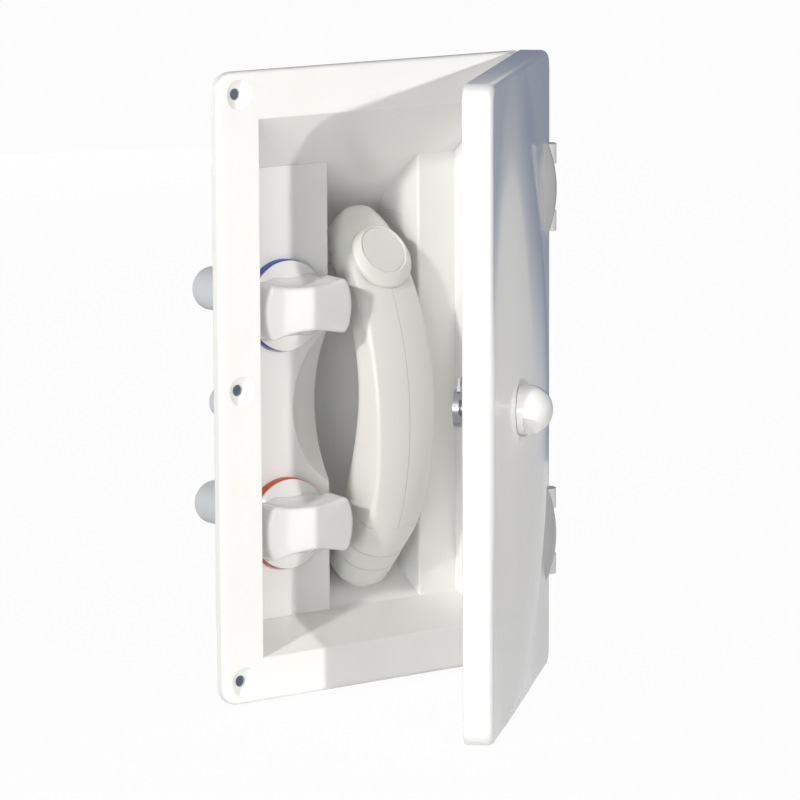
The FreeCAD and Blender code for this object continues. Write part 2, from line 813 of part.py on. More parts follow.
shaft_hole = latch_shaft_radius + latch_bush_wall
door = fuse(door, along_y(latch_boss_radius, latch_x, 0, latch_seat, door_inner - liner_thickness))
door = door.cut(along_y(shaft_hole, latch_x, 0, latch_seat - over, door_inner))

block_left = hinge_edge_x - hinge_block_width
for z in (-hinge_z, hinge_z):
    block = box(block_left, hinge_edge_x - door_wall / 2, door_outer + door_wall / 2,
                door_inner - liner_thickness - liner_gap, z - cover_half_length, z + cover_half_length)
    knuckle = along_z(knuckle_radius, pin_x, pin_y, z - knuckle_half_length, z + knuckle_half_length)
    door = fuse(door, block, knuckle)


for _, z in lug_places():
    room = fuse(lug_room(z, lug_gap), box(pin_x, hinge_edge_x + over, pin_y, door_inner + over,
                                          z - lug_height / 2 - lug_gap, z + lug_height / 2 + lug_gap))
    door = door.cut(room)
for z in (-hinge_z, hinge_z):
    half = lug_low + lug_height + over
    door = door.cut(along_z(pin_radius + pin_fit, pin_x, pin_y, z - half, z + half))
save("door_shell", opened(door))

# Liner: the inner frame of the door, with the seal in it
liner = door_frame(door_wall + liner_gap, door_inner - liner_thickness, door_inner)
liner = liner.cut(frame_block(liner_overlap - opening_half_width, opening_half_width - liner_overlap,
                              liner_overlap - opening_bottom, opening_top - liner_overlap, plate_corner,
                              door_inner - 2 * liner_thickness, door_inner + over))


def seal_ring(y0, y1):
    a = seal_from_opening
    b = seal_from_opening + seal_width
    outer = frame_block(-opening_half_width - b, opening_half_width + b, -opening_bottom - b,
                        opening_top + b, plate_corner + b, y0, y1)
    inner = frame_block(-opening_half_width - a, opening_half_width + a, -opening_bottom - a,
                        opening_top + a, plate_corner + a, y0, y1)
    return outer.cut(inner)


liner = liner.cut(seal_ring(door_inner - seal_depth, door_inner + over))
for _, z in lug_places():
    liner = liner.cut(lug_room(z, lug_gap))
save("door_liner", opened(liner))
save("door_seal", opened(seal_ring(door_inner - seal_depth, door_inner + seal_proud)))


def hinge_cover(z):
    """Oval dome: the part of a barrel, whose axis lies along Z, that stands out of the door's face."""
    x = hinge_edge_x - cover_from_hinge_edge
    depth = (cover_half_width ** 2 - cover_rise ** 2) / (2 * cover_rise)
    y = door_outer + depth
    low, high = V(x, y - depth, z - cover_half_length), V(x, y - depth, z + cover_half_length)
    mid = V(x, y - depth - cover_rise, z)
    foot, head = V(x, y, z - cover_half_length), V(x, y, z + cover_half_length)
    edges = [Part.Arc(low, mid, high).toShape(), Part.LineSegment(high, head).toShape(),
             Part.LineSegment(head, foot).toShape(), Part.LineSegment(foot, low).toShape()]
    barrel = Part.Face(Part.Wire(edges)).revolve(V(x, y, z), V(0, 0, 1), 360)
    reach = cover_half_width + over
    return barrel.common(box(x - reach, x + reach, door_outer - 2 * cover_rise, door_outer,
                             z - cover_half_length, z + cover_half_length))


for node, z in (("upper_hinge", hinge_z), ("lower_hinge", -hinge_z)):
    cover = hinge_cover(z)
    for place, lug_z in lug_places():
        if place == z:
            cover = cover.cut(lug_room(lug_z, lug_gap))
    cover = cover.cut(along_z(knuckle_radius + lug_gap, pin_x, pin_y, z - cover_half_length,
                              z + cover_half_length))
    save(node + "_cover", opened(cover))
    reach = lug_low + lug_height
    save(node + "_pin", along_z(pin_radius, pin_x, pin_y, z - reach, z + reach))

# Latch: bush in the door, knob, shaft, cam and its screw
bush = fuse(along_y(shaft_hole, latch_x, 0, latch_seat, door_inner - liner_thickness),
            along_y(latch_bush_flange_radius, latch_x, 0, door_inner - liner_thickness,
                    door_inner - liner_thickness + latch_bush_flange))
bush = bush.cut(along_y(latch_shaft_radius + spindle_fit, latch_x, 0, latch_seat - over, door_inner))
save("latch_bush", opened(bush))

knob_back = latch_seat - latch_gap
straight = latch_knob_length - latch_knob_radius
dome_start = V(latch_x + latch_knob_radius, knob_back - straight, 0)
dome_end = V(latch_x, knob_back - latch_knob_length, 0)
half = latch_knob_radius * math.sqrt(0.5)
dome_mid = V(latch_x + half, knob_back - straight - half, 0)
foot, rim = V(latch_x, knob_back, 0), V(latch_x + latch_knob_radius, knob_back, 0)
knob_edges = [Part.LineSegment(foot, rim).toShape(), Part.LineSegment(rim, dome_start).toShape(),
              Part.Arc(dome_start, dome_mid, dome_end).toShape(), Part.LineSegment(dome_end, foot).toShape()]
latch_knob = Part.Face(Part.Wire(knob_edges)).revolve(foot, V(0, 1, 0), 360)
shaft_front = knob_back - straight
latch_line = V(latch_x, 0, 0)
for side in (-1, 1):
    flat = box(latch_x - latch_knob_radius, latch_x + latch_knob_radius,
               knob_back - latch_knob_length - over, knob_back - latch_flat_start,
               -2 * latch_knob_radius, -latch_flat_distance)
    flat.rotate(latch_line, V(0, 1, 0), side * latch_flat_angle)
    latch_knob = latch_knob.cut(flat)
latch_knob = latch_knob.cut(along_y(latch_shaft_radius, latch_x, 0, shaft_front, knob_back))
save("latch_knob", opened(latch_knob))

screw_hole_depth = cam_front - cam_screw_length + cam_thickness
shaft = along_y(latch_shaft_radius, latch_x, 0, shaft_front, cam_front)
shaft = shaft.cut(along_y(cam_screw_radius, latch_x, 0, screw_hole_depth, cam_front))
save("latch_shaft", opened(shaft))

cam_side = [(cam_front, 0), (cam_back, 0), (cam_front + cam_tip_thickness, cam_reach), (cam_front, cam_reach)]
cam = fuse(side_prism(cam_side, latch_x - cam_width / 2, latch_x + cam_width / 2),
           along_y(cam_hub_radius, latch_x, 0, cam_front, cam_back))
head_start = cam_back - cam_screw_head_height
cam = cut(cam, along_y(cam_screw_radius, latch_x, 0, cam_front - over, cam_back + over),
          along_y(cam_screw_head_radius + cam_screw_head_gap, latch_x, 0, head_start, cam_back + over))
save("latch_cam", opened(cam))

cam_screw = fuse(along_y(cam_screw_radius, latch_x, 0, screw_hole_depth, head_start),
                 along_y(cam_screw_head_radius, latch_x, 0, head_start, cam_back))
cam_screw = cam_screw.cut(box(latch_x - cam_screw_head_radius, latch_x + cam_screw_head_radius,
                              cam_back - cam_screw_head_height / 2, cam_back + over,
                              -cam_screw_slot_half_width, cam_screw_slot_half_width))
save("latch_screw", opened(cam_screw))

# Hand shower shells, split down the middle
outer_form = handset_form(0)
inner_form = handset_form(handset_shell)
bezel_shift = head_down * -bezel_offset
seat = rod(bezel_radius, at_head(bezel_seat - head_thickness) + bezel_shift, head_in, head_thickness)
spray_seat = head_thickness - spray_thickness
shell_form = cut(outer_form, inner_form, seat,
                 rod(bezel_inner_radius, at_head(0), head_in, button_well_depth),
                 rod(spray_radius + spray_gap, at_head(spray_seat), head_in, head_thickness))
floor_ring = rod(spray_radius, at_head(spray_seat - handset_shell), head_in, handset_shell)
floor_ring = floor_ring.cut(rod(valve_radius, at_head(0), head_in, head_thickness))
shell_form = fuse(shell_form, floor_ring.common(outer_form))
for node, low, high in (("handset_left_shell", handset_x - 2 * head_half_width, handset_x),
                        ("handset_right_shell", handset_x, handset_x + 2 * head_half_width)):
    save(node, shell_form.common(box(low, high, -bay_depth, bay_depth, -plate_height, plate_height)))

# Head: bezel, button, valve, spring and spray plate
bezel_rim_radius = bezel_inner_radius + bezel_rim
low_ring = Part.Circle(at_head(-bezel_wall_height) + bezel_shift, head_out, bezel_radius).toShape()
high_ring = Part.Circle(at_head(-bezel_height), head_out, bezel_rim_radius).toShape()
bezel = fuse(Part.makeLoft([Part.Wire(low_ring), Part.Wire(high_ring)], True, True),
             rod(bezel_radius, at_head(bezel_seat) + bezel_shift, head_out, bezel_seat + bezel_wall_height))
bezel = bezel.cut(rod(bezel_inner_radius, at_head(head_thickness), head_out, 2 * head_thickness))
save("button_bezel", bezel)

button_front = -bezel_height + button_sink
button_back = button_front + button_thickness
valve_back = button_well_depth + valve_length
stem_end = valve_back - button_travel - button_stem_gap
button = rod(button_radius, at_head(button_back), head_out, button_thickness)
front_rim = at_head(button_front)
rim_edges = [edge for edge in button.Edges if edge.Length > button_radius
             and abs((edge.BoundBox.Center - front_rim).dot(head_out)) < button_round / 2]
button = button.makeFillet(button_round, rim_edges)
button = fuse(button, rod(button_stem_radius, at_head(stem_end), head_out, stem_end - button_back))
save("spray_button", button)

valve = rod(valve_radius, at_head(valve_back), head_out, valve_length)
valve = valve.cut(rod(button_stem_radius + button_stem_fit, at_head(valve_back), head_out, valve_length))
save("handset_valve", valve)

spring = rod(spring_radius, at_head(button_well_depth), head_out, button_well_depth - button_back)
spring = spring.cut(rod(spring_radius - spring_wall, at_head(button_well_depth), head_out, head_thickness))
save("button_spring", spring)

spray = rod(spray_radius, at_head(head_thickness), head_out, spray_thickness)
for ring in range(nozzle_rings + 1):
    count = max(1, 6 * ring)
    for i in range(count):
        turn = 2 * math.pi * i / count
        across = V(1, 0, 0) * math.cos(turn) + head_down * math.sin(turn)
        place = at_head(head_thickness) + across * (ring * nozzle_ring_step)
        spray = spray.cut(rod(nozzle_radius, place, head_out, spray_thickness))
save("spray_plate", spray)

# Tail: the collar, the end piece with its groove, and the water tube inside the shells


def tail_wire(section, along, shrink=0):
    """Oval section across the straight tail, centred on its axis."""
    half_width, thickness, front_slope, front_corner, back_slope, back_corner = section
    place = tail_axis + tail_way * along - tail_in * (thickness / 2 - shrink)
    return oval_wire(place, tail_in, half_width - shrink, thickness - 2 * shrink,
                     front_slope, front_corner, back_slope, back_corner)


collar_start = handset_sections[-1]
collar_mid_angle = (shell_end_angle + tail_angle) / 2


def collar_wire(angle, share):
    point, inward, _ = arc_frame(angle)
    start = collar_start[1:]
    mixed = [a + (b - a) * share for a, b in zip(start, collar_section)]
    mixed[0] += collar_proud * (1 - share)
    mixed[1] += 2 * collar_proud * (1 - share)
    return oval_wire(point - inward * (collar_proud * (1 - share)), inward, *mixed)


collar = Part.makeLoft([collar_wire(shell_end_angle, 0.0), collar_wire(collar_mid_angle, 0.5),
                        tail_wire(collar_section, 0)], True, False)
end_top = tail_wire(collar_section, 0)
end_mid = tail_wire(end_mid_section, end_mid_length)
end_low = tail_wire(end_section, end_length)
end_foot = tail_wire(end_section, end_length + end_round_length, end_round_shrink)
end = fuse(Part.makeLoft([end_top, end_mid, end_low], True, False),
           Part.makeLoft([end_low, end_foot], True, False))


def groove(section, along):
    """Ring cut out round the tail."""
    half = ring_groove_width / 2
    room = Part.makeLoft([tail_wire(section, along - half, -ring_groove_width),
                          tail_wire(section, along + half, -ring_groove_width)], True, False)
    core = Part.makeLoft([tail_wire(section, along - 2 * half, ring_groove_depth),
                          tail_wire(section, along + 2 * half, ring_groove_depth)], True, False)
    return room.cut(core)


end = cut(end, groove(collar_section, 0), groove(end_mid_section, end_mid_length))
collar = collar.cut(groove(collar_section, 0))


def tube(radius):
    """Tube along the two arcs behind the front, then straight down the tail."""
    depth = tube_front_gap + tube_radius
    turns = (tube_top_angle, (tube_top_angle + handset_join_angle) / 2, handset_join_angle,
             (handset_join_angle + tail_angle) / 2, tail_angle)
    places = [arc_frame(turn) for turn in turns]
    p = [point + inward * depth for point, inward, _ in places]
    wire = Part.Wire([Part.Arc(p[0], p[1], p[2]).toShape(), Part.Arc(p[2], p[3], p[4]).toShape()])
    ring = Part.Wire(Part.Circle(p[0], places[0][2], radius).toShape())
    curved = Part.Wire([wire.Edges[0], wire.Edges[1]]).makePipeShell([ring], True, False)
    return curved, p[4]


tube_skin, tube_foot = tube(tube_radius)
tube_hole, _ = tube(tube_bore_radius)
valve_body = rod(valve_radius, at_head(head_thickness), head_out, 2 * head_thickness)
water_tube = cut(tube_skin, tube_hole, valve_body)
collar = collar.cut(tube_skin)
hose_bore = rod(tube_bore_radius, tube_foot - tail_way * near, tail_way, 2 * end_length)
end = end.cut(hose_bore)
save("water_tube", water_tube)
save("tail_collar", collar)
save("tail_end", end)
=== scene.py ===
"""Recessed garden shower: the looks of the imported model.

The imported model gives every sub-part its place, in metres, with X to the right, Y into the wall and
Z up. Sizes in this file are in millimetres and angles in degrees, unless something else is said.
Each sub-assembly is a class. It holds its sizes as fields, builds the surfaces that are finer than
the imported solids, and dresses its parts with the finishes given near the top. Shapes are worked out
with numpy on whole grids: a surface is a function of two parameters, or a profile carried along a
path.
"""

import logging
import math
from dataclasses import dataclass
from enum import Enum
from functools import lru_cache
from typing import Any, Sequence, Union

import bpy
import numpy as np
from mathutils import Matrix, Vector


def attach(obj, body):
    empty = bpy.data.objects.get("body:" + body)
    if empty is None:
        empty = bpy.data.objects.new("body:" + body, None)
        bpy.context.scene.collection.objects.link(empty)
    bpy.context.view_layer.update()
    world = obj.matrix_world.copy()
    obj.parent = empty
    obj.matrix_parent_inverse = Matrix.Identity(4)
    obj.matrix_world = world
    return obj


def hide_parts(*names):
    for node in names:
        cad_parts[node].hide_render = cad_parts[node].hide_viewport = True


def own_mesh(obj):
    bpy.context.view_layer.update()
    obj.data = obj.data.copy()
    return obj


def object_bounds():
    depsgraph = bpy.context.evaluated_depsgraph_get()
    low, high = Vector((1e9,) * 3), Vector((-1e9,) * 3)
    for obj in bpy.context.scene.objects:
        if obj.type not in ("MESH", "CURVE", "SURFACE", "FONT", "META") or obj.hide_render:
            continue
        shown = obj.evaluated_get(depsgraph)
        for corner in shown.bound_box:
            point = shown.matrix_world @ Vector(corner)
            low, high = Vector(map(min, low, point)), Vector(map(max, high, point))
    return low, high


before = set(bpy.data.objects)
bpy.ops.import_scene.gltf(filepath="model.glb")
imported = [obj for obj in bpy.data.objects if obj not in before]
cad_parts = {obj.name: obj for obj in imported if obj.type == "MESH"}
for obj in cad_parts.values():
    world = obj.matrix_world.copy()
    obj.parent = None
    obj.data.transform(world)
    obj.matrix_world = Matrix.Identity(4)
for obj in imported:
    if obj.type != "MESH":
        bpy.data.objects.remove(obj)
CAD_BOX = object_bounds()

Triple = tuple[float, float, float]
Colour = Triple
Span = tuple[float, float]
Grid = np.ndarray

MM = 0.001
QUARTER_TURN = math.pi / 2
FULL_TURN = 2 * math.pi
RIGHT = np.array([1.0, 0.0, 0.0])
INTO_WALL = np.array([0.0, 1.0, 0.0])
WHITE = (1.0, 1.0, 1.0, 1.0)

log = logging.getLogger("garden_shower")


# ---------------------------------------------------------------------------------------------
# Shader graphs
# ---------------------------------------------------------------------------------------------


@dataclass(frozen=True)
class Wire:
    """One output of a shader graph, which takes part in arithmetic."""

    graph: "Graph"
    socket: bpy.types.NodeSocket

    def _math(self, operation: str, *values: "Term") -> "Wire":
        """Adds a Math node.

        Args:
            operation: the node's operation.
            values: its inputs in order, wires or numbers.

        Returns:
            The node's result.
        """
        return self.graph.wire("ShaderNodeMath", {"operation": operation}, dict(enumerate(values)))

    def __add__(self, other: "Term") -> "Wire":
        """Sum."""
        return self._math("ADD", self, other)

    def __radd__(self, other: "Term") -> "Wire":
        """Sum with the wire at the right."""
        return self._math("ADD", other, self)

    def __sub__(self, other: "Term") -> "Wire":
        """Difference."""
        return self._math("SUBTRACT", self, other)

    def __rsub__(self, other: "Term") -> "Wire":
        """Difference with the wire at the right."""
        return self._math("SUBTRACT", other, self)

    def __mul__(self, other: "Term") -> "Wire":
        """Product."""
        return self._math("MULTIPLY", self, other)

    def __rmul__(self, other: "Term") -> "Wire":
        """Product with the wire at the right."""
        return self._math("MULTIPLY", other, self)

    def __truediv__(self, other: "Term") -> "Wire":
        """Quotient."""
        return self._math("DIVIDE", self, other)

    def __abs__(self) -> "Wire":
        """Size without sign."""
        return self._math("ABSOLUTE", self)

    def ramp(self, low: float, high: float) -> "Wire":
        """Smooth step.

        Args:
            low: the value that gives 0.
            high: the value that gives 1.

        Returns:
            A wire from 0 to 1, with soft ends.
        """
        return self.graph.wire("ShaderNodeMapRange", {"interpolation_type": "SMOOTHSTEP"},
                               {"Value": self, "From Min": low, "From Max": high}, "Result")


Term = Union[Wire, float]


class Graph:
    """The node tree of one material, or of the world."""

    def __init__(self, owner: Union[bpy.types.Material, bpy.types.World]) -> None:
        """Starts an empty tree.

        Args:
            owner: the material or the world.
        """
        owner.use_nodes = True
        self.owner, self.tree = owner, owner.node_tree
        self.tree.nodes.clear()

    def node(self, kind: str, settings: dict[str, Any], inputs: dict[Any, Any]) -> bpy.types.Node:
        """Adds a node.

        Args:
            kind: the node's type.
            settings: its properties, set first.
            inputs: what goes into its sockets, by name or number: a wire, a number, a colour or a
                vector.

        Returns:
            The new node.
        """
        made = self.tree.nodes.new(kind)
        for key, value in settings.items():
            setattr(made, key, value)
        for key, value in inputs.items():
            if isinstance(value, Wire):
                self.tree.links.new(value.socket, made.inputs[key])
            else:
                made.inputs[key].default_value = value
        return made

    def wire(self, kind: str, settings: dict[str, Any], inputs: dict[Any, Any],
             output: Union[str, int] = 0) -> Wire:
        """Adds a node and takes one of its outputs.

        Args:
            kind: the node's type.
            settings: its properties.
            inputs: what goes into its sockets.
            output: the output's name or number.

        Returns:
            That output.
        """
        return Wire(self, self.node(kind, settings, inputs).outputs[output])

    def place(self) -> Wire:
        """Coordinates on the object, in metres."""
        return self.wire("ShaderNodeTexCoord", {}, {}, "Object")

    def stretched(self, stretch: Triple) -> Wire:
        """Coordinates on the object in metres, each times its own part of the stretch."""
        return self.wire("ShaderNodeMapping", {}, {"Vector": self.place(), "Scale": stretch})

    def axes(self) -> tuple[Wire, Wire, Wire]:
        """The three coordinates on the object, each a wire in millimetres."""
        parts = self.node("ShaderNodeSeparateXYZ", {}, {0: self.place()})
        return tuple(Wire(self, out) * (1 / MM) for out in parts.outputs)

    def noise(self, size: float, detail: float = 2.0, stretch: Triple = (1.0, 1.0, 1.0)) -> Wire:
        """Smooth random pattern.

        Args:
            size: width of its patches.
            detail: how many finer layers it has.
            stretch: how many times finer it is along each axis.

        Returns:
            A wire from about 0 to 1.
        """
        return self.wire("ShaderNodeTexNoise", {}, {"Vector": self.stretched(stretch),
                                                    "Scale": 1 / (size * MM), "Detail": detail})

    def cells(self, size: float) -> Wire:
        """Distance to the nearest of many random points.

        Args:
            size: distance between the points.

        Returns:
            A wire from 0 at a point to about 1.
        """
        return self.wire("ShaderNodeTexVoronoi", {"feature": "F1"},
                         {"Vector": self.place(), "Scale": 1 / (size * MM)}, "Distance")

    def blend(self, share: Term, low: Any, high: Any) -> Wire:
        """Mixes two colours.

        Args:
            share: how much of the second one there is.
            low: first colour, a wire or a triple.
            high: second colour.

        Returns:
            The mixed colour.
        """
        colours = [c if isinstance(c, Wire) else (*c, 1.0) for c in (low, high)]
        return self.wire("ShaderNodeMix", {"data_type": "RGBA", "clamp_factor": True},
                         {0: share, 6: colours[0], 7: colours[1]}, 2)

    def bump(self, height: Wire, depth: float) -> Wire:
        """Turns a height into a slope of the surface.

        Args:
            height: pattern from 0 to 1.
            depth: what 1 stands for.

        Returns:
            The surface's normal.
        """
        return self.wire("ShaderNodeBump", {}, {"Height": height, "Distance": depth * MM, "Strength": 1.0})

    def glow(self, colour: Any) -> Wire:
        """A surface that shines in a colour by itself, a wire or four numbers."""
        return self.wire("ShaderNodeEmission", {}, {"Color": colour, "Strength": 1.0})

    def close(self, shader: Wire) -> None:
        """Leads a shader to the tree's output."""
        kind = "World" if isinstance(self.owner, bpy.types.World) else "Material"
        self.node("ShaderNodeOutput" + kind, {}, {"Surface": shader})

    def surface(self, inputs: dict[str, Any]) -> bpy.types.Material:
        """Closes the tree with the main shader.

        Args:
            inputs: what goes into the shader's sockets.

        Returns:
            The finished material.
        """
        self.close(self.wire("ShaderNodeBsdfPrincipled", {}, inputs))
        return self.owner


# ---------------------------------------------------------------------------------------------
# Finishes
# ---------------------------------------------------------------------------------------------


@dataclass(frozen=True)
class Pattern:
    """Soft random patches or streaks on a surface.

    Attributes:
        size: their width.
        detail: how many finer layers they have.
        edge: noise at which they start and are full, or None for the noise as it is.
        stretch: how many times finer they are along each axis.
    """

    size: float
    detail: float
    edge: Union[Span, None] = None
    stretch: Triple = (1.0, 1.0, 1.0)

    def on(self, graph: Graph) -> Wire:
        """The pattern in the given tree, as a wire from 0 to 1."""
        noise = graph.noise(self.size, self.detail, self.stretch)
        return noise if self.edge is None else noise.ramp(*self.edge)


AGEING = Pattern(38.0, 3.0, (0.35, 0.75))
SCRATCHES = Pattern(1.4, 1.0, (0.62, 0.7), (1.0, 1.0, 0.06))
RUBBING = Pattern(14.0, 4.0)
MOULD_GRAIN = Pattern(0.8, 1.0)
FLOW_WAVES = Pattern(26.0, 1.0)
DULLING = Pattern(9.0, 4.0, (0.4, 0.75))
BLOOM = Pattern(6.0, 5.0, (0.45, 0.8))


@dataclass(frozen=True)
class Seam:
    """A parting line that the two halves of a mould leave, at one place across X.

    Attributes:
        x: that place.
        edge: distances from it at which the line starts and is full.
        top: heights at which the line starts and is full.
        share: of the dark colour in the line.
        shade: brightness of that colour against the aged one.
        depth: of the line.
    """

    x: float
    edge: Span = (0.28, 0.06)
    top: Span = (48.0, 38.0)
    share: float = 0.55
    shade: float = 0.45
    depth: float = 0.12


@dataclass(frozen=True)
class MouldedPlastic:
    """Injection-moulded plastic: slight mottling, flow waves, fine grain and rubbed patches.

    Attributes:
        name: the material's name.
        colour: clean colour.
        aged: colour of the patches that have yellowed or greyed.
        roughness: of the clean surface.
        rubbed: what rubbed patches add to it.
        coat: weight of the glossy skin.
        grain: height of the mould's grain.
        waves: height of the flow waves.
        seam: its parting line, if one shows.
        aged_share: of the aged colour in its patches.
        scratched: what scratches add to the roughness.
        speck_spacing: distance between specks.
        speck_edge: distances from a speck's middle at which it starts and is full.
        speck_share: of the speck's colour.
        speck_shade: brightness of that colour against the aged one.
        coat_roughness: of the glossy skin.
    """

    name: str
    colour: Colour
    aged: Colour
    roughness: float = 0.3
    rubbed: float = 0.08
    coat: float = 0.0
    grain: float = 0.006
    waves: float = 0.02
    seam: Union[Seam, None] = None
    aged_share: float = 0.6
    scratched: float = 0.015
    speck_spacing: float = 7.5
    speck_edge: Span = (0.05, 0.02)
    speck_share: float = 0.1
    speck_shade: float = 0.6
    coat_roughness: float = 0.12

    def darker(self, shade: float) -> Colour:
        """The aged colour times a brightness."""
        return tuple(shade * c for c in self.aged)

    @lru_cache(maxsize=None)
    def material(self) -> bpy.types.Material:
        """Builds the material once.

        Returns:
            The material.
        """
        g = Graph(bpy.data.materials.new(self.name))
        colour = g.blend(AGEING.on(g) * self.aged_share, self.colour, self.aged)
        specks = g.cells(self.speck_spacing).ramp(*self.speck_edge)
        colour = g.blend(specks * self.speck_share, colour, self.darker(self.speck_shade))
        rough = self.roughness + self.rubbed * RUBBING.on(g) + self.scratched * SCRATCHES.on(g)
        height = self.grain * MOULD_GRAIN.on(g) + self.waves * FLOW_WAVES.on(g)
        if self.seam is not None:
            across, _, up = g.axes()
            line = abs(across - self.seam.x).ramp(*self.seam.edge) * up.ramp(*self.seam.top)
            colour = g.blend(line * self.seam.share, colour, self.darker(self.seam.shade))
            height = height - self.seam.depth * line
        return g.surface({"Base Color": colour, "Roughness": rough, "Normal": g.bump(height, 1.0),
                          "IOR": 1.5, "Coat Weight": self.coat, "Coat Roughness": self.coat_roughness})


@dataclass(frozen=True)
class Metal:
    """Turned, drawn or plated metal with fine marks of its making.

    Attributes:
        name: the material's name.
        colour: its reflection's colour.
        roughness: of the polished parts.
        marks: height of the tool marks.
        stretch: how the tool marks run, as fineness along each axis.
        dull: colour of the dulled patches.
        mark_width: distance from one tool mark to the next.
        dull_share: of the dull colour in its patches.
        dulled: what dulled patches add to the roughness.
        marked: what tool marks add to it.
    """

    name: str
    colour: Colour
    roughness: float
    marks: float
    stretch: Triple
    dull: Colour
    mark_width: float = 0.35
    dull_share: float = 0.5
    dulled: float = 0.14
    marked: float = 0.05

    @lru_cache(maxsize=None)
    def material(self) -> bpy.types.Material:
        """Builds the material once.

        Returns:
            The material.
        """
        g = Graph(bpy.data.materials.new(self.name))
        patches = DULLING.on(g)
        lines = g.noise(self.mark_width, stretch=self.stretch)
        rough = self.roughness + self.dulled * patches + self.marked * lines
        return g.surface({"Base Color": g.blend(patches * self.dull_share, self.colour, self.dull),
                          "Metallic": 1.0, "Roughness": rough, "Normal": g.bump(lines, self.marks)})


@dataclass(frozen=True)
class Rubber:
    """Soft rubber: dark, matt, with a powdery bloom and a pebbled skin.

    Attributes:
        name: the material's name.
        colour: clean colour.
        bloom: colour of the powdery patches.
        roughness: of the clean surface.
        powdered: what the bloom adds to it.
        bloom_share: of the bloom's colour in its patches.
        pebble_spacing: distance between pebbles.
        pebble_height: their height.
    """

    name: str
    colour: Colour
    bloom: Colour
    roughness: float = 0.62
    powdered: float = 0.2
    bloom_share: float = 0.6
    pebble_spacing: float = 0.7
    pebble_height: float = 0.03

    @lru_cache(maxsize=None)
    def material(self) -> bpy.types.Material:
        """Builds the material once.

        Returns:
            The material.
        """
        g = Graph(bpy.data.materials.new(self.name))
        powder = BLOOM.on(g)
        skin = g.bump(g.cells(self.pebble_spacing), self.pebble_height)
        return g.surface({"Base Color": g.blend(powder * self.bloom_share, self.colour, self.bloom),
                          "Roughness": self.roughness + self.powdered * powder, "Normal": skin})


class Finishes(Enum):
    """Every finish on the shower."""

    BOX = MouldedPlastic("box_plastic", (0.92, 0.918, 0.90), (0.90, 0.895, 0.87), 0.17, 0.06)
    DOOR = MouldedPlastic("door_plastic", (0.865, 0.865, 0.87), (0.845, 0.845, 0.845), 0.2, 0.06, 0.5)
    HANDSET = MouldedPlastic("handset_plastic", (0.86, 0.858, 0.82), (0.84, 0.835, 0.79), 0.3,
                             seam=Seam(23.0))
    HEAD = MouldedPlastic("handset_head_plastic", (0.86, 0.858, 0.82), (0.84, 0.835, 0.79), 0.2)
    TAIL = MouldedPlastic("handset_tail_plastic", (0.86, 0.86, 0.83), (0.84, 0.84, 0.80), 0.3)
    KNOB = MouldedPlastic("knob_plastic", (0.90, 0.90, 0.885), (0.88, 0.88, 0.86), 0.16, 0.05)
    LATCH = MouldedPlastic("latch_knob_plastic", (0.84, 0.84, 0.84), (0.82, 0.82, 0.81), 0.1, 0.04, 0.3)
    COLD = MouldedPlastic("cold_ring_plastic", (0.03, 0.07, 0.42), (0.05, 0.09, 0.38), 0.25)
    HOT = MouldedPlastic("hot_ring_plastic", (0.62, 0.07, 0.015), (0.55, 0.09, 0.03), 0.25)
    PIPE = MouldedPlastic("pipe_plastic", (0.71, 0.74, 0.77), (0.67, 0.70, 0.73), 0.45, grain=0.012)
    INNER = MouldedPlastic("inner_plastic", (0.42, 0.43, 0.44), (0.36, 0.36, 0.36), 0.5, grain=0.012)
    CHROME = Metal("chrome", (0.80, 0.81, 0.83), 0.05, 0.001, (1.0, 1.0, 1.0), (0.62, 0.63, 0.66))
    STEEL = Metal("stainless_steel", (0.60, 0.60, 0.61), 0.25, 0.004, (0.05, 0.05, 1.0), (0.45, 0.45, 0.46))
    # Darker than chrome: painted shade that stands for the chrome cam's dark reflection.
    SHADED_CAM = Metal("cam_shaded_metal", (0.30, 0.31, 0.33), 0.22, 0.003, (1.0, 1.0, 0.05), (0.16, 0.16, 0.17))
    BRASS = Metal("brass", (0.75, 0.56, 0.26), 0.28, 0.004, (0.05, 1.0, 0.05), (0.45, 0.33, 0.16))
    RUBBER = Rubber("seal_rubber", (0.045, 0.05, 0.065), (0.14, 0.145, 0.16))
    # Dark blue grey of the discs behind the screw holes: painted shade for the holes' depth.
    HOLE_SHADE = Rubber("hole_shade_rubber", (0.10, 0.12, 0.16), (0.19, 0.21, 0.25))
    # Grey copy of the door's white plastic: painted shade on the hinge covers.
    SHADED_COVER = MouldedPlastic("hinge_cover_shaded_plastic", (0.58, 0.58, 0.60), (0.55, 0.55, 0.565), 0.2, 0.06)
    NOZZLE = Rubber("nozzle_rubber", (0.30, 0.31, 0.33), (0.42, 0.43, 0.44))

    @property
    def material(self) -> bpy.types.Material:
        """The finish as a material."""
        return self.value.material()


# ---------------------------------------------------------------------------------------------
# Meshes
# ---------------------------------------------------------------------------------------------


def make_object(name: str, points: Grid, faces: Sequence[Sequence[int]],
                crease: float = 30.0) -> bpy.types.Object:
    """Makes a mesh object at the origin.

    Args:
        name: the piece's name.
        points: its corners, one row each, in metres.
        faces: corner numbers of each face.
        crease: angle past which an edge stays sharp.

    Returns:
        The new object.
    """
    mesh = bpy.data.meshes.new(name)
    mesh.from_pydata(points.tolist(), [], [list(face) for face in faces])
    mesh.validate()
    mesh.shade_smooth()
    mesh.set_sharp_from_angle(angle=math.radians(crease))
    made = bpy.data.objects.new(name, mesh)
    bpy.context.scene.collection.objects.link(made)
    return made


def merge(points: Grid, digits: int) -> tuple[Grid, Grid]:
    """Merges the points that are the same when rounded.

    Args:
        points: one row each, in metres.
        digits: how many digits after the point count.

    Returns:
        The points that are left, and the number of each old point's new one.
    """
    merged, where = np.unique(np.round(points, digits), axis=0, return_inverse=True)
    return merged, where.reshape(-1)


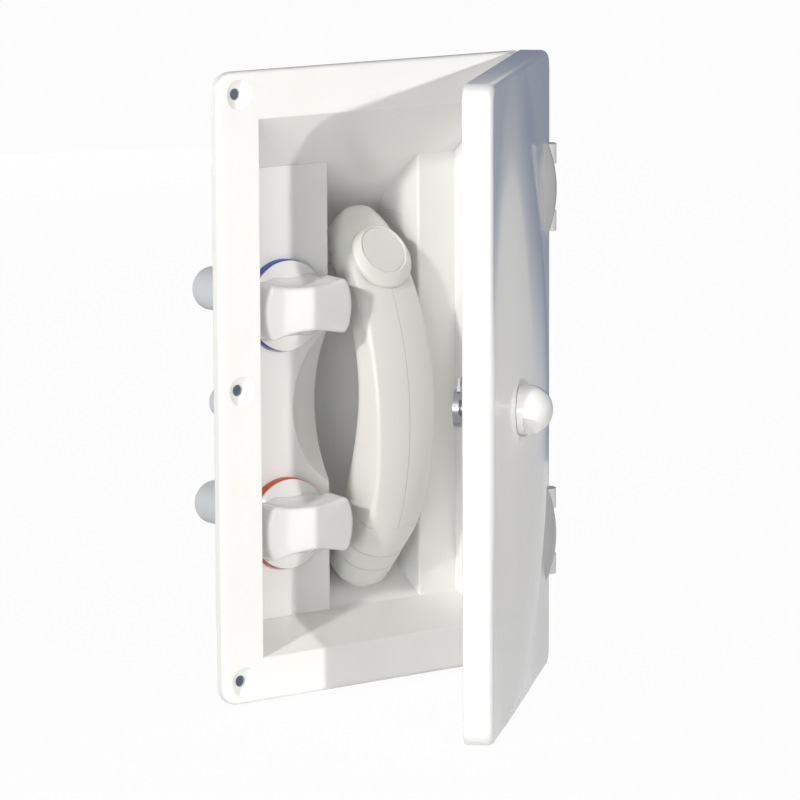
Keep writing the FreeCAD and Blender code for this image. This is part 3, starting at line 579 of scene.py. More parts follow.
def packed_mesh(node: str) -> tuple[Grid, Grid]:
    """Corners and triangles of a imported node, with the doubled corners merged.

    Args:
        node: the node's name.

    Returns:
        The corners in metres, and three corner numbers for each triangle.
    """
    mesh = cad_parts[node].data
    points = np.empty(len(mesh.vertices) * 3, np.float32)
    mesh.vertices.foreach_get("co", points)
    corners = np.empty(len(mesh.loops), np.int32)
    mesh.loops.foreach_get("vertex_index", corners)
    merged, where = merge(points.reshape(-1, 3).astype(float), digits=6)
    triangles = where[corners].reshape(-1, 3)
    a, b, c = triangles.T
    return merged, triangles[(a != b) & (b != c) & (c != a)]


def grid_faces(rows: int, columns: int, closed: bool = False) -> Grid:
    """Four-cornered faces of a grid of points.

    Args:
        rows: how many rows of points there are.
        columns: how many points there are in a row.
        closed: whether each row closes on itself.

    Returns:
        Four corner numbers for each face, row after row.
    """
    across = np.arange(columns if closed else columns - 1)
    start = (np.arange(rows - 1) * columns)[:, None]
    nearby, beside = start + across, start + (across + 1) % columns
    return np.stack([nearby, beside, beside + columns, nearby + columns], -1).reshape(-1, 4)


def surface_object(name: str, points: Grid, closed: bool = False, keep: Union[Grid, None] = None,
                   crease: float = 40.0, flip: bool = False) -> bpy.types.Object:
    """Makes an object from a grid of points.

    Args:
        name: the piece's name.
        points: rows x columns x 3.
        closed: whether each row closes on itself.
        keep: true for each face that stays, or None for all.
        crease: angle past which an edge stays sharp.
        flip: whether the faces look the other way.

    Returns:
        The new object.
    """
    rows, columns, _ = points.shape
    faces = grid_faces(rows, columns, closed)
    if keep is not None:
        faces = faces[keep.reshape(-1)]
    if flip:
        faces = faces[:, ::-1]
    merged, where = merge(points.reshape(-1, 3) * MM, digits=7)
    kept = [tuple(dict.fromkeys(face)) for face in where[faces].tolist() if len(set(face)) > 2]
    return make_object(name, merged, kept, crease)


def turned(profile: Grid, centres: Grid, axis: Grid, across: Grid, count: int) -> Grid:
    """Carries a profile round an axis.

    Each point of the profile makes a circle of its own radius, at its own height along the axis.

    Args:
        profile: radius and height of each point.
        centres: where height 0 lies for each point, one place or one for each point.
        axis: unit vector along which heights count.
        across: unit vector square to it, where the circle starts.
        count: how many points each circle has.

    Returns:
        The surface, points x count x 3.
    """
    around = np.linspace(0.0, FULL_TURN, count, endpoint=False)
    ring = np.cos(around)[:, None] * across + np.sin(around)[:, None] * np.cross(axis, across)
    middle = centres + profile[:, 1:] * axis
    return middle[:, None, :] + profile[:, :1, None] * ring


def turned_copies(name: str, profile: Grid, places: Grid, axis: Grid, count: int) -> bpy.types.Object:
    """Makes one object of a turned shape that stands at many places.

    Args:
        name: the piece's name.
        profile: radius and height of each point.
        places: where its foot stands, one row each.
        axis: unit vector along which it stands, square to X.
        count: how many points each circle has.

    Returns:
        The new object.
    """
    points = places[:, None, None, :] + turned(profile, np.zeros(3), axis, RIGHT, count)
    first = (np.arange(len(places)) * len(profile) * count)[:, None, None]
    faces = grid_faces(len(profile), count, closed=True)[None] + first
    return make_object(name, points.reshape(-1, 3) * MM, faces.reshape(-1, 4).tolist())


def with_depth(lines: Grid, depth: Union[Grid, float]) -> Grid:
    """Adds the third coordinate to rows of flat points.

    Args:
        lines: rows x points x 2.
        depth: one value for all, for each row or for each point.

    Returns:
        Rows x points x 3.
    """
    return np.concatenate([lines, np.broadcast_to(depth, (*lines.shape[:2], 1))], -1)


def cubic(x: Grid, knots: Sequence[float], values: Sequence[float]) -> Grid:
    """Smooth curve through given values.

    Between two knots it is the cubic whose slopes at the knots are the weighted means of the slopes
    at both sides, so that neither the curve nor its slope jumps.

    Args:
        x: where the curve is wanted.
        knots: places of the given values, rising.
        values: the given values.

    Returns:
        The curve's values.
    """
    k, v = np.asarray(knots, float), np.asarray(values, float)
    steps = np.diff(k)
    slopes = np.diff(v) / steps
    inner = (slopes[:-1] * steps[1:] + slopes[1:] * steps[:-1]) / (steps[:-1] + steps[1:])
    ends = np.concatenate([slopes[:1], inner, slopes[-1:]])
    i = np.clip(np.searchsorted(k, x) - 1, 0, len(steps) - 1)
    h = steps[i]
    t = np.clip((x - k[i]) / h, 0.0, 1.0)
    return ((2 * t ** 3 - 3 * t ** 2 + 1) * v[i] + (t ** 3 - 2 * t ** 2 + t) * h * ends[i]
            + (3 * t ** 2 - 2 * t ** 3) * v[i + 1] + (t ** 3 - t ** 2) * h * ends[i + 1])


@dataclass
class Assembly:
    """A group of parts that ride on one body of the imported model.

    Attributes:
        body: the body that its pieces ride on.
    """

    body: str

    def dress(self, finish: Finishes, *nodes: str) -> None:
        """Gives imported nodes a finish.

        Args:
            finish: the finish.
            nodes: the nodes' names.
        """
        for node in nodes:
            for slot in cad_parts[node].material_slots:
                slot.material = finish.material
            log.info("%s: %s keeps its packed shape, finish %s", self.body, node, finish.value.name)

    def add(self, piece: bpy.types.Object, finish: Finishes, slot: str, *replaced: str) -> bpy.types.Object:
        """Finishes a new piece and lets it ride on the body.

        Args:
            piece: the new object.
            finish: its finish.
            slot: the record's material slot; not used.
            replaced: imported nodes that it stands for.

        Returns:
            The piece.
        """
        piece.data.materials.clear()
        piece.data.materials.append(finish.material)
        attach(piece, self.body)
        if replaced:
            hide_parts(*replaced)
        log.info("%s: new piece %s, %d faces", self.body, piece.name, len(piece.data.polygons))
        return piece

    def smooth(self, finish: Finishes, slot: str, *nodes: str) -> None:
        """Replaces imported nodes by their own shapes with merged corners, so that round faces look smooth.

        Args:
            finish: their finish.
            slot: the record's material slot.
            nodes: the nodes' names.
        """
        for node in nodes:
            self.add(make_object(node + "_smooth", *packed_mesh(node), crease=25.0), finish, slot, node)


# ---------------------------------------------------------------------------------------------
# Sub-assemblies
# ---------------------------------------------------------------------------------------------


@dataclass
class WallBox(Assembly):
    """The faceplate with its sloping box, the bay, the panel, the gaskets and the hose gland.

    Attributes:
        screw_x: from the middle to the screw holes at both sides.
        screw_z: from the middle to those at the top and bottom.
        shade_disc: radius and depth of each circle of a dark disc behind a screw hole, painted shade.
        shade_disc_points: how many points each of these circles has.
    """

    body: str = "box"
    screw_x: float = 92.0
    screw_z: float = 158.0
    shade_disc: tuple[Span, ...] = ((0.0, 0.5), (0.8, 0.5), (1.2, 0.4), (1.6, 0.0), (7.4, 0.0), (7.6, 0.2),
                                (7.6, 0.5), (7.4, 0.7))
    shade_disc_points: int = 48

    def shade_discs(self) -> bpy.types.Object:
        """Thin dark rubber discs behind the six screw holes, painted shade for their depth: flat turned
        discs, each with a dimple.

        Returns:
            The piece.
        """
        x, z = np.meshgrid([-self.screw_x, self.screw_x], [-self.screw_z, 0.0, self.screw_z], indexing="ij")
        places = np.stack([x, 0 * x, z], -1).reshape(-1, 3)
        return turned_copies("screw_hole_shade_discs", np.array(self.shade_disc), places, INTO_WALL,
                             self.shade_disc_points)

    def build(self) -> None:
        """Makes and dresses the parts."""
        self.smooth(Finishes.BOX, "box white plastic", "housing", "handset_bay", "tap_panel")
        self.dress(Finishes.RUBBER, "faceplate_gasket", "rest_pad")
        # painted shade: dark discs close the screw holes from behind, so that they look deep and shaded
        self.add(self.shade_discs(), Finishes.HOLE_SHADE, "seal rubber")
        self.smooth(Finishes.BOX, "box white plastic", "hose_gland")
        self.smooth(Finishes.STEEL, "stainless steel", "upper_hinge_pin", "lower_hinge_pin")


@dataclass
class Plumbing(Assembly):
    """The mixer body and its three pipe stubs behind the panel."""

    body: str = "box"

    def build(self) -> None:
        """Makes and dresses the parts."""
        self.smooth(Finishes.INNER, "inner plastic", "mixer_body")
        self.smooth(Finishes.PIPE, "pipe grey plastic", "cold_inlet", "hot_inlet", "mixed_outlet")


class Water(Enum):
    """Which tap it is, with the finish of its ring."""

    COLD = ("cold", Finishes.COLD, "cold blue plastic")
    HOT = ("hot", Finishes.HOT, "hot red plastic")


@dataclass
class Tap:
    """One tap: valve, nut and coloured ring on the panel, spindle and knob on the turning body.

    Attributes:
        water: which tap it is.
        height: of its axis.
        x: of its axis.
        front: depth of the grip's face.
        skirt_front: depth of the skirt's front edge.
        skirt_back: depth of its back edge.
        skirt_radius: of the skirt.
        hollow_radius: of the hollow behind it.
        hollow_depth: from the skirt's front edge forward to the hollow's floor.
        dome_rise: from the skirt's edge to the dome's top.
        dome_round: radius of the dome's edge.
        dome_lip: how far the skirt's back edge is cut off.
        half_length: of the grip.
        corner_x: from the axis to its corners.
        corner_soft: length over which the corners are rounded.
        end_half_height: of the grip at its ends.
        waist_half_height: of the grip at its middle.
        edge_round: radius of the edge of the grip's face.
        face_bow: how far the face's middle stands out.
        taper: by how much the grip widens on each side from front to back.
        flare: by how much more it spreads where it meets the dome.
        flare_fade: width inside the dome's edge over which that spreading fades.
        foot: depth at which the grip's overhanging ends stop.
        foot_round: radius of the edge there.
        dome_rows: how many circles the dome has.
        dome_points: how many points each of them has.
        grip_rows: how many outlines lie on the grip's face, and on its side.
        grip_points: how many points each of them has.
    """

    water: Water
    height: float
    x: float = -40.0
    front: float = 3.2
    skirt_front: float = 24.0
    skirt_back: float = 25.2
    skirt_radius: float = 24.6
    hollow_radius: float = 16.5
    hollow_depth: float = 1.2
    dome_rise: float = 6.0
    dome_round: float = 0.4
    dome_lip: float = 0.3
    half_length: float = 28.9
    corner_x: float = 24.8
    corner_soft: float = 13.0
    end_half_height: float = 15.6
    waist_half_height: float = 11.9
    edge_round: float = 2.5
    face_bow: float = 0.4
    taper: float = 0.5
    flare: float = 3.4
    flare_fade: float = 6.0
    foot: float = 21.0
    foot_round: float = 1.0
    dome_rows: int = 40
    dome_points: int = 128
    grip_rows: int = 16
    grip_points: int = 240

    def dome(self, name: str) -> bpy.types.Object:
        """The round part: a profile carried round the tap's axis.

        The profile is the dome's arc, a small round, the skirt, and the hollow's step back inside.

        Args:
            name: the piece's name.

        Returns:
            The piece.
        """
        skirt, back, edge, lip = self.skirt_radius, self.skirt_back, self.dome_round, self.dome_lip
        radius = (skirt ** 2 + self.dome_rise ** 2) / (2 * self.dome_rise)
        r = np.linspace(0.0, skirt - edge, self.dome_rows)
        y = self.skirt_front - self.dome_rise + radius - np.sqrt(radius ** 2 - r ** 2)
        turn = np.linspace(0.0, QUARTER_TURN, 6)[1:]
        r = np.concatenate([r, skirt - edge + edge * np.sin(turn),
                            [skirt, skirt - lip, self.hollow_radius, self.hollow_radius]])
        y = np.concatenate([y, y[-1] + edge * (1 - np.cos(turn)),
                            [back - lip, back, back, self.skirt_front - self.hollow_depth]])
        centre = np.array([self.x, 0.0, self.height])
        points = turned(np.stack([r, -y], -1), centre, -INTO_WALL, RIGHT, self.dome_points)
        return surface_object(name, points, closed=True, crease=50.0)

    @staticmethod
    def bow(t: Grid, half_chord: float, rise: float) -> Grid:
        """An arc over a chord.

        Args:
            t: places along the chord, from -1 to 1.
            half_chord: half of its length.
            rise: how far the arc stands out in the middle.

        Returns:
            How far it stands out at each place.
        """
        radius = (half_chord ** 2 + rise ** 2) / (2 * rise)
        return np.sqrt(radius ** 2 - (t * half_chord) ** 2) - (radius - rise)

    @staticmethod
    def averaged(line: Grid, stretch: float, count: int, fine: int = 2400) -> Grid:
        """A closed line, averaged over a short stretch with bell-shaped weights.

        Args:
            line: points x 2.
            stretch: its length.
            count: how many points are wanted.
            fine: how many points it is worked out on.

        Returns:
            The averaged line, count x 2.
        """
        run = np.concatenate([[0.0], np.cumsum(np.linalg.norm(np.roll(line, -1, 0) - line, axis=1))])
        even = np.linspace(0.0, run[-1], fine, endpoint=False)
        closed = np.concatenate([line, line[:1]])
        line = np.stack([np.interp(even, run, closed[:, i]) for i in (0, 1)], -1)
        window = np.hanning(int(fine * stretch / run[-1]) | 1)
        weights = np.zeros(fine)
        weights[:len(window)] = window / window.sum()
        weights = np.roll(weights, -(len(window) // 2))
        soft = np.fft.ifft(np.fft.fft(line, axis=0) * np.fft.fft(weights)[:, None], axis=0).real
        return soft[np.arange(count) * fine // count]

    def outline(self, count: int) -> Grid:
        """Outline of the grip: two drawn-in sides and two bowed ends, with its corners softened.

        Each side is an arc through two corners and the waist, each end an arc through two corners and
        the tip. The closed line is then averaged over a short stretch, which rounds the corners.

        Args:
            count: how many points it has.

        Returns:
            The points across and up, count x 2, from the tap's axis.
        """
        across, up = self.corner_x, self.end_half_height
        t = np.linspace(-1.0, 1.0, 601)[:-1]
        right = np.stack([across + self.bow(t, up, self.half_length - across), t * up], -1)
        top = np.stack([-t * across, up - self.bow(t, across, up - self.waist_half_height)], -1)
        return self.averaged(np.concatenate([right, top, -right, -top]), self.corner_soft, count)

    def grip(self, name: str) -> bpy.types.Object:
        """The bar that a hand turns: a profile carried along the grip's outline.

        The profile starts at the middle of the face, which is slightly bowed, turns over a quarter
        circle, runs back along the side, spreads where it meets the dome, and closes behind the
        overhanging ends.

        Args:
            name: the piece's name.

        Returns:
            The piece.
        """
        line = self.outline(self.grip_points)
        along = np.roll(line, -1, 0) - np.roll(line, 1, 0)
        out = np.stack([along[:, 1], -along[:, 0]], -1) / np.linalg.norm(along, axis=1)[:, None]
        turn = np.linspace(0.0, QUARTER_TURN, 12)[1:, None, None]
        share = np.linspace(0.0, 1.0, self.grip_rows)[:, None, None]
        r, level, back = self.edge_round, self.front + self.face_bow, self.foot - self.foot_round
        face = with_depth(share * (line - r * out), self.front + self.face_bow * share ** 2)
        edge = with_depth(line - r * out + r * np.sin(turn) * out, level + r * (1 - np.cos(turn)))
        share = share[1:]
        inside = self.skirt_radius - self.foot_round - np.linalg.norm(line, axis=1)
        flare = self.flare * np.clip(inside / self.flare_fade, 0.0, 1.0)[None, :, None]
        side = with_depth(line + (self.taper * share + flare * share ** 4) * out,
                          level + r + (back - level - r) * share)
        under = with_depth(side[-1, :, :2] - self.foot_round * (1 - np.cos(turn)) * out,
                           back + self.foot_round * np.sin(turn))
        inwards = np.array([0.8, 0.5, 0.0])[:, None, None]
        close = with_depth(under[-1:, :, :2] * inwards, self.foot)
        rows = np.concatenate([face, edge, side, under, close])
        points = np.stack([self.x + rows[..., 0], rows[..., 2], self.height + rows[..., 1]], -1)
        return surface_object(name, points, closed=True, crease=60.0)

    def build(self) -> None:
        """Makes and dresses the parts."""
        name, ring_finish, ring_slot = self.water.value
        fixed, turning = Assembly("box"), Assembly(name + "_tap")
        fixed.smooth(Finishes.BRASS, "brass", name + "_valve", name + "_valve_nut")
        fixed.smooth(ring_finish, ring_slot, name + "_ring")
        turning.smooth(Finishes.BRASS, "brass", name + "_spindle")
        for piece in (self.dome(name + "_knob_dome"), self.grip(name + "_knob_grip")):
            turning.add(piece, Finishes.KNOB, "knob white plastic", name + "_knob")


@dataclass
class Door(Assembly):
    """The door with its liner, seal, hinge covers and the latch's bush.

    It is drawn shut, and then turned open about its pins.

    Attributes:
        half_width: of the door.
        half_height: of the door.
        corner: radius of its four corners.
        edge_round: radius of the edge of its outer face.
        outer: depth of the outer face.
        bulge_x: middle of the bulge.
        bulge_z: middle of the bulge.
        bulge_height: how far it stands out.
        small_radius: of the bulge across the door.
        large_radius: of the bulge along the door.
        bulge_edge: border of the face that stays flat.
        bulge_fall: slope at which the bulge starts from that border.
        blend: width over which the bulge runs out into the face.
        latch_x: axis of the latch.
        seat_rise: how far the latch's seat stands out.
        seat_radius: of the seat.
        seat_edge: width over which the seat runs out.
        pocket_radius: of the pocket round it.
        pocket_edge: width over which the pocket runs out.
        bush_radius: of the opening for the latch's bush.
        pin_x: axis of the hinge pins.
        pin_y: axis of the hinge pins.
        hinge_z: middle of each hinge.
        lug_low: from there to the near face of a lug's room.
        lug_high: from there to the far face.
        lug_side: from the pins' axis to the side of that room.
        open_angle: how far the door stands open.
        lift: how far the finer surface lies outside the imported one.
        inset: how far inside the outline it ends.
        lines_x: how many even lines its grid has across.
        lines_z: how many it has upwards.
        rim_width: width near the outline in which the grid is closer.
        rim_lines: how many lines lie there.
        latch_width: width at each side of the latch in which the grid is closer.
        latch_lines: how many lines lie there.
    """

    body: str = "door"
    half_width: float = 106.0
    half_height: float = 171.9
    corner: float = 10.5
    edge_round: float = 4.0
    outer: float = -21.9
    bulge_x: float = -16.0
    bulge_z: float = -10.0
    bulge_height: float = 14.0
    small_radius: float = 252.0
    large_radius: float = 988.0
    bulge_edge: float = 8.0
    bulge_fall: float = 0.45
    blend: float = 5.5
    latch_x: float = -66.0
    seat_rise: float = 8.0
    seat_radius: float = 14.0
    seat_edge: float = 0.8
    pocket_radius: float = 16.5
    pocket_edge: float = 0.7
    bush_radius: float = 9.0
    pin_x: float = 103.5
    pin_y: float = -19.5
    hinge_z: float = 96.0
    lug_low: float = 12.6
    lug_high: float = 24.4
    lug_side: float = 6.1
    open_angle: float = 43.0
    lift: float = 0.06
    inset: float = 0.9
    lines_x: int = 90
    lines_z: int = 110
    rim_width: float = 6.0
    rim_lines: int = 13
    latch_width: float = 18.0
    latch_lines: int = 61

    def from_border(self, x: Grid, z: Grid, inset: float = 0.0) -> Grid:
        """Distance inwards from the door's rounded outline.

        Args:
            x: across.
            z: up.
            inset: how far inside the outline the distance starts.

        Returns:
            The distance, negative outside.
        """
        least = 1.0
        radius = max(self.corner - inset, least)
        qx = np.abs(x) - (self.half_width - inset - radius)
        qz = np.abs(z) - (self.half_height - inset - radius)
        outside = np.hypot(np.maximum(qx, 0), np.maximum(qz, 0))
        return radius - outside - np.minimum(np.maximum(qx, qz), 0)

    def height(self, x: Grid, z: Grid) -> Grid:
        """How far the outer face stands out.

        The bulge is the part of a large ring that stands out of the flat face, and rises from the flat
        border no steeper than its fall. Two heights a and b blend as their larger one plus
        max(k - |a - b|, 0) squared over 4 k. Near the outline the face turns back over a quarter
        circle, and round the latch it is level with the latch's seat.

        Args:
            x: across.
            z: up.

        Returns:
            The heights.
        """
        sag = self.small_radius - np.sqrt(self.small_radius ** 2 - (x - self.bulge_x) ** 2)
        ring = np.sqrt((self.large_radius - sag) ** 2 - (z - self.bulge_z) ** 2)
        bulge = self.bulge_height - self.large_radius + ring
        border = self.from_border(x, z, self.bulge_edge)
        bulge = np.minimum(bulge, self.bulge_fall * border)
        gap = np.maximum(self.blend - np.abs(bulge), 0.0)
        rise = np.maximum(bulge, 0.0) + gap ** 2 / (4 * self.blend)
        r = np.hypot(x - self.latch_x, z)
        seat = np.clip((self.seat_radius + self.seat_edge - r) / self.seat_edge, 0.0, 1.0)
        pocket = np.clip((self.pocket_radius - r) / self.pocket_edge, 0.0, 1.0)
        for share, level in ((pocket, np.minimum(rise, self.seat_rise)), (seat, self.seat_rise)):
            rise = rise + (level - rise) * share * share * (3 - 2 * share)
        inside = np.minimum(self.from_border(x, z), self.edge_round)
        drop = self.edge_round - np.sqrt(self.edge_round ** 2 - (self.edge_round - inside) ** 2)
        return rise - drop

    def grid_lines(self, edge: float, count: int, latch: float, extra: Sequence[float]) -> Grid:
        """Places of the skin's grid lines along one axis.

        Args:
            edge: where the outermost lines lie at both sides.
            count: how many even lines there are.
            latch: middle of the latch, near which more lines lie, as they do near both edges.
            extra: places that get a line of their own.

        Returns:
            The places, rising.
        """
        rim = np.linspace(0.0, self.rim_width, self.rim_lines)
        near = np.linspace(latch - self.latch_width, latch + self.latch_width, self.latch_lines)
        even = np.linspace(-edge, edge, count)
        return np.unique(np.round(np.concatenate([even, near, edge - rim, rim - edge, extra]), 3))

    def skin(self) -> bpy.types.Object:
        """The door's outer face as one fine surface: a height over a grid, drawn in at its corners.

        Faces in the lugs' rooms, in the opening for the latch's bush and outside the round corners are
        left out.

        Returns:
            The piece.
        """
        lugs = [side * self.hinge_z + way * off for side in (-1, 1) for way in (-1, 1)
                for off in (self.lug_low, self.lug_high)]
        edge_x, edge_z = self.half_width - self.inset, self.half_height - self.inset
        room = self.pin_x - self.lug_side
        xs = self.grid_lines(edge_x, self.lines_x, self.latch_x, [room])
        zs = self.grid_lines(edge_z, self.lines_z, 0.0, lugs)
        x, z = np.meshgrid(xs, zs)
        radius = self.corner - self.inset
        qx = np.maximum(np.abs(x) - (edge_x - radius), 0.0)
        qz = np.maximum(np.abs(z) - (edge_z - radius), 0.0)
        far = np.hypot(qx, qz)
        pull = np.where(far > radius, radius / np.maximum(far, radius), 1.0)
        moved_x = np.sign(x) * (np.abs(x) - qx * (1 - pull))
        moved_z = np.sign(z) * (np.abs(z) - qz * (1 - pull))
        y = self.outer - self.lift - self.height(moved_x, moved_z)
        middle_x = (xs[1:] + xs[:-1])[None, :] / 2
        middle_z = (zs[1:] + zs[:-1])[:, None] / 2
        off = np.abs(np.abs(middle_z) - self.hinge_z)
        lug = (middle_x > room) & (off > self.lug_low) & (off < self.lug_high)
        bush = np.hypot(middle_x - self.latch_x, middle_z) < self.bush_radius
        outside = pull < 1.0
        gone = outside[:-1, :-1] & outside[1:, :-1] & outside[:-1, 1:] & outside[1:, 1:]
        turn = math.radians(self.open_angle)
        dx, dy = moved_x - self.pin_x, y - self.pin_y
        points = np.stack([self.pin_x + math.cos(turn) * dx - math.sin(turn) * dy,
                           self.pin_y + math.sin(turn) * dx + math.cos(turn) * dy, moved_z], -1)
        return surface_object("door_outer_face", points, keep=~(lug | bush | gone), crease=70.0)

    def build(self) -> None:
        """Makes and dresses the parts."""
        self.add(self.skin(), Finishes.DOOR, "door white plastic")
        self.smooth(Finishes.DOOR, "door white plastic", "door_shell", "door_liner")
        self.smooth(Finishes.RUBBER, "seal rubber", "door_seal")
        # painted shade: the hinge covers get a grey copy of the door's white plastic
        self.smooth(Finishes.SHADED_COVER, "door white plastic", "upper_hinge_cover", "lower_hinge_cover")
        self.smooth(Finishes.CHROME, "chrome", "latch_bush")


@dataclass
class Latch(Assembly):
    """The knob outside the door, its shaft, and the cam inside."""

    body: str = "latch"

    def build(self) -> None:
        """Makes and dresses the parts."""
        self.smooth(Finishes.LATCH, "knob white plastic", "latch_knob")
        self.smooth(Finishes.STEEL, "stainless steel", "latch_shaft")
        # painted shade: the chrome cam gets a darkened metal
        self.smooth(Finishes.SHADED_CAM, "chrome", "latch_cam")
        self.smooth(Finishes.STEEL, "stainless steel", "latch_screw")


@dataclass(frozen=True)
class Ovals:
    """A row of oval sections: bowed front and back, four round corners and flat sides.

    Attributes:
        half_width: half of each section's width.
        thickness: from front to back.
        front_slope: slope at which the bowed front meets its corners.
        front_corner: radius of the front corners.
        back_slope: slope of the back.
        back_corner: radius of the back corners.
    """

    half_width: Grid
    thickness: Grid
    front_slope: Grid
    front_corner: Grid
    back_slope: Grid
    back_corner: Grid

    @staticmethod
    def _side(half_width: Grid, slope: Grid, corner: Grid, bow: int, turn: int) -> tuple[Grid, Grid]:
        """Places from the middle of one face, over its corner, to the flat side.

        The face is an arc that meets the corner at the slope; the corner is an arc that meets the side.

        Args:
            half_width: half of each section's width.
            slope: the face's slope at its end.
            corner: the corner's radius.
            bow: how many places the face gets.
            turn: how many places the corner gets.

        Returns:
            The places' distance from the middle line and from the face's highest point.
        """
        w, a, r = half_width[:, None], np.radians(slope)[:, None], corner[:, None]
        end = w - r + r * np.sin(a)
        radius = end / np.sin(a)
        t = np.linspace(0.0, 1.0, bow)[None, :]
        x = np.sin(a * t) * radius
        depth = radius * (1 - np.cos(a * t))
        b = a + (QUARTER_TURN - a) * np.linspace(0.0, 1.0, turn)[None, 1:]
        low = radius * (1 - np.cos(a)) + r * np.cos(a)
        return np.hstack([x, w - r + r * np.sin(b)]), np.hstack([depth, low - r * np.cos(b)])

    def half(self, bow: int = 14, turn: int = 12, flat: int = 6) -> tuple[Grid, Grid]:
        """One half of each section, from the middle of the front round to the middle of the back.

        Args:
            bow: how many places the front and the back get.
            turn: how many places each corner gets.
            flat: how many places the flat side gets.

        Returns:
            Distance from the middle line, and depth behind the front, each sections x places.
        """
        front_x, front_d = self._side(self.half_width, self.front_slope, self.front_corner, bow, turn)
        back_x, back_d = self._side(self.half_width, self.back_slope, self.back_corner, bow, turn)
        low, high = front_d[:, -1:], self.thickness[:, None] - back_d[:, -1:]
        share = np.linspace(0.0, 1.0, flat + 2)[None, 1:-1]
        side_d = low + (high - low) * share
        side_x = np.broadcast_to(self.half_width[:, None], side_d.shape)
        return (np.hstack([front_x, side_x, back_x[:, ::-1]]),
                np.hstack([front_d, side_d, self.thickness[:, None] - back_d[:, ::-1]]))


# Sections of the hand shower from its collar to its head, one row each: angle above the level, half
# width, thickness, slope and corner radius of the front, slope and corner radius of the back.
SHELL_SECTIONS = np.array([
    (-23.5, 17.6, 36.8, 24.0, 5.0, 32.0, 9.0), (-18.0, 17.7, 37.0, 20.0, 4.0, 26.0, 9.0),
    (-12.0, 18.2, 35.0, 17.0, 3.0, 20.0, 8.0), (-4.0, 19.2, 30.0, 15.5, 2.5, 14.0, 6.5),
    (6.0, 19.8, 25.0, 15.5, 2.5, 12.0, 6.0), (17.0, 20.2, 22.6, 15.0, 3.5, 12.0, 6.0),
    (26.0, 20.4, 22.2, 13.0, 6.5, 12.0, 6.0), (32.4, 20.3, 22.5, 10.0, 10.0, 10.0, 6.0)])

# The sloping frame round the button from its foot to its rim, one row each: radius, height above the
# head's front, shift upwards along the head. Then its wall inside, as radius and height.
BEZEL_SLOPE = np.array([
    (18.6, -1.2, 2.6), (18.5, 0.4, 2.6), (18.1, 1.3, 2.5), (17.0, 2.4, 1.8), (15.7, 3.4, 0.8),
    (14.8, 3.95, 0.2), (14.2, 4.1, 0.0), (13.7, 3.7, 0.0)])
BEZEL_WALL = np.array([(13.6, 3.5), (13.55, 3.0), (13.55, -1.0)])

# A spray nozzle from its foot to the bottom of its hole, one row each: radius and height.
NOZZLE_PROFILE = np.array([(1.15, 0.0), (1.1, 0.3), (0.95, 0.9), (0.8, 1.1), (0.45, 1.15), (0.35, 0.6)])


